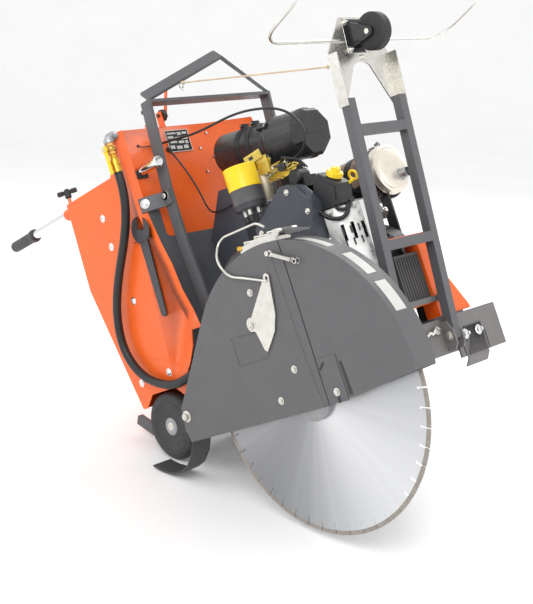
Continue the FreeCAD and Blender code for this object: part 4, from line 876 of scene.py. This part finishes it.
def carburettor():
    rng = random.Random(7)
    gold, zinc, dark, tan = [], [], [], []
    gold.append(prism("y", [(487, 520), (520, 548), (604, 548), (612, 536), (600, 520), (560, 514)], -97,
            -95))
    gold.append(obox((545, -92, 556), (60, 14, 2.4)))
    gold.append(obox((498, -98, 560), (10, 3, 30), (1, 0, 0.3)))
    gold.append(obox((520, -99, 566), (8, 3, 26), (1, 0, -0.4)))
    for i in range(9):
        a = Vector((487 + 13 * i, -100 - 3 * (i % 3), 524 + rng.uniform(0, 26)))
        b = a + Vector((rng.uniform(26, 60), rng.uniform(-3, 4), rng.uniform(-12, 20)))
        gold.append(pipe([a, a.lerp(b, 0.85), b + Vector((3, 4, -5))], 1.7, 8))
    for i in range(4):
        a = Vector((500 + 26 * i, -102, 532 + 5 * (i % 2)))
        zinc.append(coil(a, a + Vector((24, 2, 5)), 2.7, 0.7, 9))
        zinc += bolt(a + Vector((4, -2, 10)), OUTWARD, 6, 3, True)
    dark.append(lathe((597, -112, 500), ASIDE, [(0, 16), (4, 20), (16, 21), (40, 21), (44, 17)], 32))
    dark.append(block(566, 618, -100, -52, 470, 498))
    dark.append(lathe((566, -104, 538), (0.3, -1, 0), [(0, 11), (10, 11), (12, 7)], 24))
    for i in range(5):
        a = Vector((560 + 10 * i, -98 - 2 * i, 552 - 4 * i))
        line = smooth_line([a, a + Vector((14, -8, 8)), a + Vector((32, -4, -2)), a + Vector((44, 4, -26))],
                6)
        dark.append(pipe(line, 2.3, 8))
    bend = smooth_line([(452, -92, 548), (470, -98, 546), (484, -100, 534), (484, -100, 510), (476, -98,
            482)], 8)
    tan.append(pipe(bend, 17, 24))
    build("carburettor_set", {"gold": gold, "zinc": zinc, "wire_black": dark, "tan": tan}, "root",
            (), 0.4)
    # wires by the filter and the plated fasteners on the belt cover
    wires = []
    for i in range(3):
        line = smooth_line([(372 - 6 * i, -98, 516 + 5 * i), (392, -106 - 3 * i, 520), (410, -112,
                514 + 4 * i), (426 + 4 * i, -118, 520)], 6)
        wires.append(pipe(line, 2.2, 8))
    clip = [torus((395, -113, 514), (1, -0.2, 0.1), 4.2, 1.5, 20, 8)]
    build("wire_loom", {"gold": wires, "wire_black": clip}, "root", (), 0)
    bolts = []
    for x, z in ((470, 200), (630, 200), (470, 400), (596, 466), (645, 402)):
        bolts += bolt((x, -150, z), OUTWARD, 9, 4)
    build("cover_bolts", {"zinc": bolts}, "root", (), 0.3)


carburettor()


def shroud():
    hoses = [pipe(smooth_line([(652, -120, 400), (664, -119, 380), (682, -112, 366), (700, -100, 362), (712,
            -88, 372), (714, -84, 392)], 8), 5.2, 14)]
    hoses.append(pipe(smooth_line([(694, -108, 398), (700, -104, 384), (716, -86, 380), (722, -76, 396)],
            8), 4, 12))
    shine = []
    for p, n in (((672, -108, 384), (0.33, -0.94, 0)), ((716, -64, 384), (0.77, -0.64, 0)), ((668, -109,
            240), (0.33, -0.94, 0)), ((712, -68, 240), (0.77, -0.64, 0))):
        shine += bolt(p, n, 9, 4)
    dark = []
    for z in (300, 330):
        for i in range(3):
            c = Vector((688 + 13 * i, -98.6 + 15 * i, z))
            dark.append(obox(c, (4, 2, 18), (0.64, 0.77, 0), UPWARD))
    build("shroud_fittings", {"hose": hoses, "zinc": shine, "black": dark}, "root", (), 0.3)


shroud()


def muffler():
    y, z = 205.0, 475.0
    axis = AHEAD
    drum = [lathe((412, y, z), axis, [(0, 0), (0, 57), (3, 62), (8, 65.6), (214, 65.6)], 64)]
    seam = [lathe((622, y, z), axis, [(0, 65), (0, 67), (5, 67), (5, 65)], 64)]
    cap = [lathe((626, y, z), axis, [(0, 65), (0, 66.4), (14, 66.4), (18, 65), (21, 60), (19, 54), (20.5,
            50), (22, 30), (22, 0)], 64)]
    strap = [lathe((530, y, z), axis, [(0, 65.6), (0, 67.2), (22, 67.2), (22, 65.6)], 64), lathe((598, y, z),
            axis, [(0, 65.6), (0, 67.6), (9, 67.6), (9, 65.6)], 64)]
    out = [lathe((640, 232, 455), axis, [(0, 14), (30, 14), (32, 13), (32, 12), (14, 11.4), (14, 0)], 32),
           lathe((640, 232, 455), axis, [(6, 14), (7, 17), (10, 17), (11, 14)], 32)]
    guard = []
    for i in range(13):
        a = math.radians(200 + 10 * i)
        r = Vector((0, math.cos(a), math.sin(a)))
        guard.append(obox(Vector((524, y, z)) + r * 72, (190, 9, 2.2), axis, r))
    for x in (432, 524, 614):
        guard.append(pipe([Vector((x, y + 71 * math.cos(math.radians(a)),
                z + 71 * math.sin(math.radians(a)))) for a in range(196, 326, 5)], 3.2, 8))
    clamp = [obox((606, 205 + 4, 545), (20, 26, 3)), obox((606, 222, 549), (14, 3, 16))]
    stays = [block(x0, x0 + 30, 176, 182, 66, 413) for x0 in (470, 600)]
    screws = bolt((606, 226, 552), ASIDE, 10, 5) + bolt((640, 150, 468), (0.8, -0.6, 0), 9, 4)
    build("silencer", {"heat": drum, "chrome": seam, "cream": cap, "wire_black": strap + guard, "galv": out,
            "zinc": clamp + screws, "black": stays}, "root", ("muffler",), 0.5)


muffler()


# ---- running gear
def wheels():
    for side, sign in (("left", 1), ("right", -1)):
        a = (0, sign, 0)
        tread = lathe((0, sign * 211, 0), a, [(0, 68), (0, 82), (2, 88), (7, 93.4), (12, 95), (29, 95), (34,
                93.4), (39, 88), (41, 82), (40, 78), (41, 75), (40, 71), (38, 68)], 72)
        build("tyre_" + side, {"tyre": [tread]}, "rear_wheels", ("rear_tyres",) if sign > 0 else (),
                0)
        rim = [lathe((0, sign * 215, 0), a, [(0, 60), (0, 69), (33, 69), (35, 67), (33, 63), (26, 61), (22,
                56), (14, 52), (12, 44), (16, 40), (16, 34), (12, 30)], 64)]
        hub = [lathe((0, sign * 206, 0), a, [(0, 20), (0, 27), (16, 27), (20, 31), (30, 31), (33, 27), (42,
                26), (45, 22), (45, 12)], 40)]
        end = [lathe((0, sign * 249, 0), a, [(0, 13), (2, 13), (3, 11.5), (3, 0)], 6)]
        grease = [lathe((0, sign * 236, 40), a, [(0, 5), (3, 5), (3, 3), (9, 2.4), (10, 0)], 12)]
        lugs = []
        for i in range(4):
            py, pz = polar((0, 0), 40, 45 + 90 * i)
            lugs += bolt((py, sign * 229, pz), a, 9, 4)
        build("rim_" + side, {"black": rim, "hub": hub, "zinc": end + lugs, "brass": grease}, "rear_wheels",
              ("rear_axle",) if sign > 0 else (), 0.4)
    build("axle_bar", {"steel": [rod((0, -205, 0), (0, 205, 0), 14, 32)]}, "rear_wheels", (), 0.5)


wheels()


def front_pair():
    pos = next(j for j in frame["joints"] if j["name"] == "front_wheels_spin")["pos_m"]
    d = Vector(pos) - AXLE
    x, z = d.dot(FWD) * 1000, d.dot(UP) * 1000
    y = 8.0
    tyres, hubs = [], []
    for y0 in (y - 50, y + 16):
        tyres.append(lathe((x, y0, z), ASIDE, [(0, 44), (0, 56), (3, 60), (7, 62), (27, 62), (31, 60), (34,
                56), (34, 44)], 64))
        hubs.append(lathe((x, y0, z), ASIDE, [(2, 10), (2, 22), (6, 24), (6, 40), (1, 44), (33, 44), (28,
                40), (28, 24), (32, 22), (32, 10)], 48))
    axle = [rod((x, y - 52, z), (x, y + 52, z), 10, 28, 1.2), torus((x, y - 51, z), ASIDE, 8.5, 1, 24, 8)]
    build("front_wheel_pair", {"tyre": tyres, "hub": hubs, "steel": axle}, "front_wheels",
            ("front_wheels",), 0.4)


front_pair()


# ---- pointer head
LEAN = math.radians(6.3)


def L(x, y, z):
    """Point in the pointer's own upright frame, as a chassis point."""
    return Vector((757 + x * math.cos(LEAN) + z * math.sin(LEAN), y,
            14 - x * math.sin(LEAN) + z * math.cos(LEAN)))


def leaned(part):
    return [L(*v) for v in part[0]], part[1]


def head():
    x0 = -11.2
    plate = [block(-12.7, x0, -38, 38, 714, 796), block(x0, x0 + 1.0, -33, 33, 718, 792)]
    bolts = []
    for y, z in ((-30, 722), (30, 722), (-30, 788), (30, 788)):
        bolts += bolt((x0, y, z), AHEAD, 10, 4, True, 9)
    back = bolt((-16.7, 0, 640 + 62), (-1, 0, 0), 11, 5) + bolt((-12.7, 8, 702), AHEAD, 11, 5)
    eye = [torus((-14, -104, 690), UPWARD, 4.5, 1.4, 20, 8)]
    groups = {"black": [leaned(p) for p in plate], "zinc": [leaned(p) for p in bolts + back + eye]}
    build("head_plate", groups, "pointer", (), 0.4)
    x0 = -11.1
    legs = []
    for y0 in (-25, 21):
        side = [(x0 + 5, 726), (x0 + 5, 788), (47, 760)]
        side += [polar((47, 748), 12, a) for a in range(75, -90, -15)]
        legs.append(prism("y", side, y0, y0 + 4))
    housing = [block(x0, x0 + 5, -25, 25, 722, 792), lathe((x0 + 5, 0, 758), AHEAD, [(0, 21), (3, 21),
            (5, 16), (5, 0)], 32)]
    pin = [rod((45, -27, 748), (45, 27, 748), 4.9, 20, 1)]
    nuts = bolt((45, -25.2, 748), OUTWARD, 13, 3.2, False) + bolt((45, 25.2, 748), ASIDE, 13, 3.2, False)
    stem = [rod((x0 - 11, 0, 758), (x0, 0, 758), 7, 24, 1), rod((x0 - 9, 0, 758), (x0 - 6, 0, 758), 12, 24)]
    build("caster_yoke", {"black": [leaned(p) for p in legs + housing],
            "zinc": [leaned(p) for p in pin + nuts + stem]}, "caster_fork", ("caster_fork",), 0.4)
    tyre = [lathe((45, -17, 748), ASIDE, [(0, 30), (0, 38), (2, 42), (6, 45), (28, 45), (32, 42), (34,
            38), (34, 30)], 56)]
    hub = [lathe((45, -18, 748), ASIDE, [(1, 5.2), (1, 12), (4, 14), (5, 26), (2, 29), (34, 29), (31, 26),
            (32, 14), (35, 12), (35, 5.2)], 40)]
    rings = [torus((45, y, 748), ASIDE, 21, 1.2, 32, 8) for y in (-14.5, 14.5)]
    build("caster_disc", {"rubber": [leaned(p) for p in tyre], "hub": [leaned(p) for p in hub + rings]},
            "caster_wheel", ("caster_wheel",), 0.4)
    # the clevis nuts
    nuts = []
    for y in (-94.5, 94.5):
        for s in (-1, 1):
            face = y + s * 19.5
            nuts += bolt((757, face - s * 0.7, 14), (0, s, 0), 13, 4)
    build("clevis_nuts", {"zinc": nuts}, "root", (), 0.4)


head()


def nose():
    x = 740.0
    bolts = []
    for y in (147, 203):
        bolts += bolt((x + 10, y, 6), AHEAD, 15, 6, True, 13)
    bolts += bolt((734 + 12, 110, 113), AHEAD, 15, 6, True)
    bolts += bolt((740, -230, 20), AHEAD, 13, 6) + bolt((740, -170, 20), AHEAD, 13, 6)
    dark = [block(x + 10.0, x + 10.5, 141, 146, -14, -6), block(x + 10.0, x + 10.5, 197, 202, -14, -6)]
    hook = [pipe(smooth_line([(745, 8, 27), (747, 20, 34), (748, 30, 30), (749, 40, 38), (747, 52, 33), (745,
            64, 36)], 6), 4.2, 12), torus((747, 50, 35), AHEAD, 8, 2.6, 24, 10)]
    build("nose_bolts", {"chrome": bolts, "black": dark, "zinc": hook}, "root", (), 0.4)


nose()


def manifold():
    c = (620.0, -5.0)
    out, screws, knob = [], [], []
    for a, y in ((97.5, -312), (94.8, -284), (91, -310), (87.5, -286), (84, -310)):
        p = polar(c, 368.2, a)
        n = (math.cos(math.radians(a)), 0, math.sin(math.radians(a)))
        screws.append(lathe((p[0], y, p[1]), n, [(0, 4.6), (2, 4.6), (3, 3), (3, 0)], 16))
    for a in (96, 90, 83):
        p = polar(c, 369.5, a)
        n = Vector((math.cos(math.radians(a)), 0, math.sin(math.radians(a))))
        out.append(obox((p[0], -297, p[1]), (26, 34, 3.5), Vector(ASIDE).cross(n), n))
        out.append(rod((p[0] - 3, -318, p[1] + 4), (p[0] - 3, -276, p[1] + 4), 3.2, 16))
    e = polar(c, 362.1, 99.5)
    knob.append(lathe((e[0] - 1, -297, e[1]), (-0.97, 0.23, 0.06), [(0, 9), (3, 9), (3, 7), (6, 7), (6, 9),
            (13, 9), (14, 7)], 6))
    knob.append(lathe((e[0] + 6, -318, e[1] + 4), (-0.8, -0.5, 0.3), [(0, 6), (8, 6.5), (12, 5), (13, 0)],
            16))
    build("manifold_fittings", {"zinc": screws + out, "brass2": knob}, "root", (), 0.5)


manifold()


# ---- cords
HOSE = [(150, -280, 690), (150, -280, 640), (128, -281, 575), (84, -282, 510), (30, -283, 450), (-20, -283,
        385), (-50, -283, 322), (-62, -282, 258), (-48, -281, 200), (-10, -279, 150), (46, -277, 120), (104,
        -275, 105), (156, -271.5, 110), (205, -254, 129), (250, -248, 165), (292, -248, 208), (333, -249,
        252), (374, -250, 289), (411, -258, 318), (453, -269, 339), (498, -281, 351), (543.2, -292.8, 353.1)]
THROTTLE = [(169.5, -146, 746), (212, -143, 741), (257, -138, 733), (303, -131, 725), (350, -123, 722), (398,
        -115, 722), (446, -107, 721), (492, -100, 715), (535, -93, 704), (577, -87, 689), (613, -80, 666),
        (637, -76, 634), (645, -74, 600), (632, -72, 571), (603, -70, 555), (571, -68, 553), (544.5, -66,
        554)]
CHOKE = [(169.5, -104, 732), (179, -98, 708), (188, -90, 677), (196, -82, 642), (203, -76, 607), (210, -74,
        573), (222, -79, 542), (249, -91, 520), (284, -97, 512), (322, -98, 510), (360, -103, 511), (395,
        -113, 514), (424, -125.5, 516)]
ROPE = ((297.0, -101.0, 874.0), (814.2, -108.6, 696.8))


def cords():
    for name, pts, dia, mat, node, long in (("water_hose_line", HOSE, 24.0, "hose", "water_hose", 1.266),
            ("throttle_cable_line", THROTTLE, 6.5, "wire_black", "throttle_cable", 0.657),
            ("choke_cable_line", CHOKE, 5.0, "wire_black", "choke_cable", 0.417)):
        ob = spline(name, pts, dia, mat)
        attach(ob, "root")
        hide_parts(node)
    route = sampled(ROPE)
    a, b = route[0], route[-1]
    d = (b - a).normalized()
    _, u, w = basis(d)
    strands = []
    n = 260
    for k in range(3):
        line = []
        for i in range(n + 1):
            s = 2 * math.pi * (i / 7 + k / 3)
            at = i / n * (len(route) - 1)
            k0 = min(int(at), len(route) - 2)
            centre = route[k0].lerp(route[k0 + 1], at - k0)
            line.append(centre + (u * math.cos(s) + w * math.sin(s)) * 1.25)
        strands.append(pipe(line, 1.2, 6))
    knots = [torus(a + d * 6, d, 3.2, 1.9, 20, 8), torus(a + d * 11, d + u * 0.5, 3.0, 1.9, 20, 8),
            torus(b - d * 7, d, 3.2, 1.9, 20, 8)]
    rope = build("rope_line", {"twine": strands + knots}, "root", ("rope",), 0, ride=False)
    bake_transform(rope)
    eye = [torus(a + Vector((-2, 0, -6)), ASIDE, 8, 1.8, 24, 8), rod(a + Vector((-2, 0, -14)),
            a + Vector((-2, 0, -20)), 3)]
    build("bail_eyelet", {"zinc": eye}, "root", (), 0)


cords()
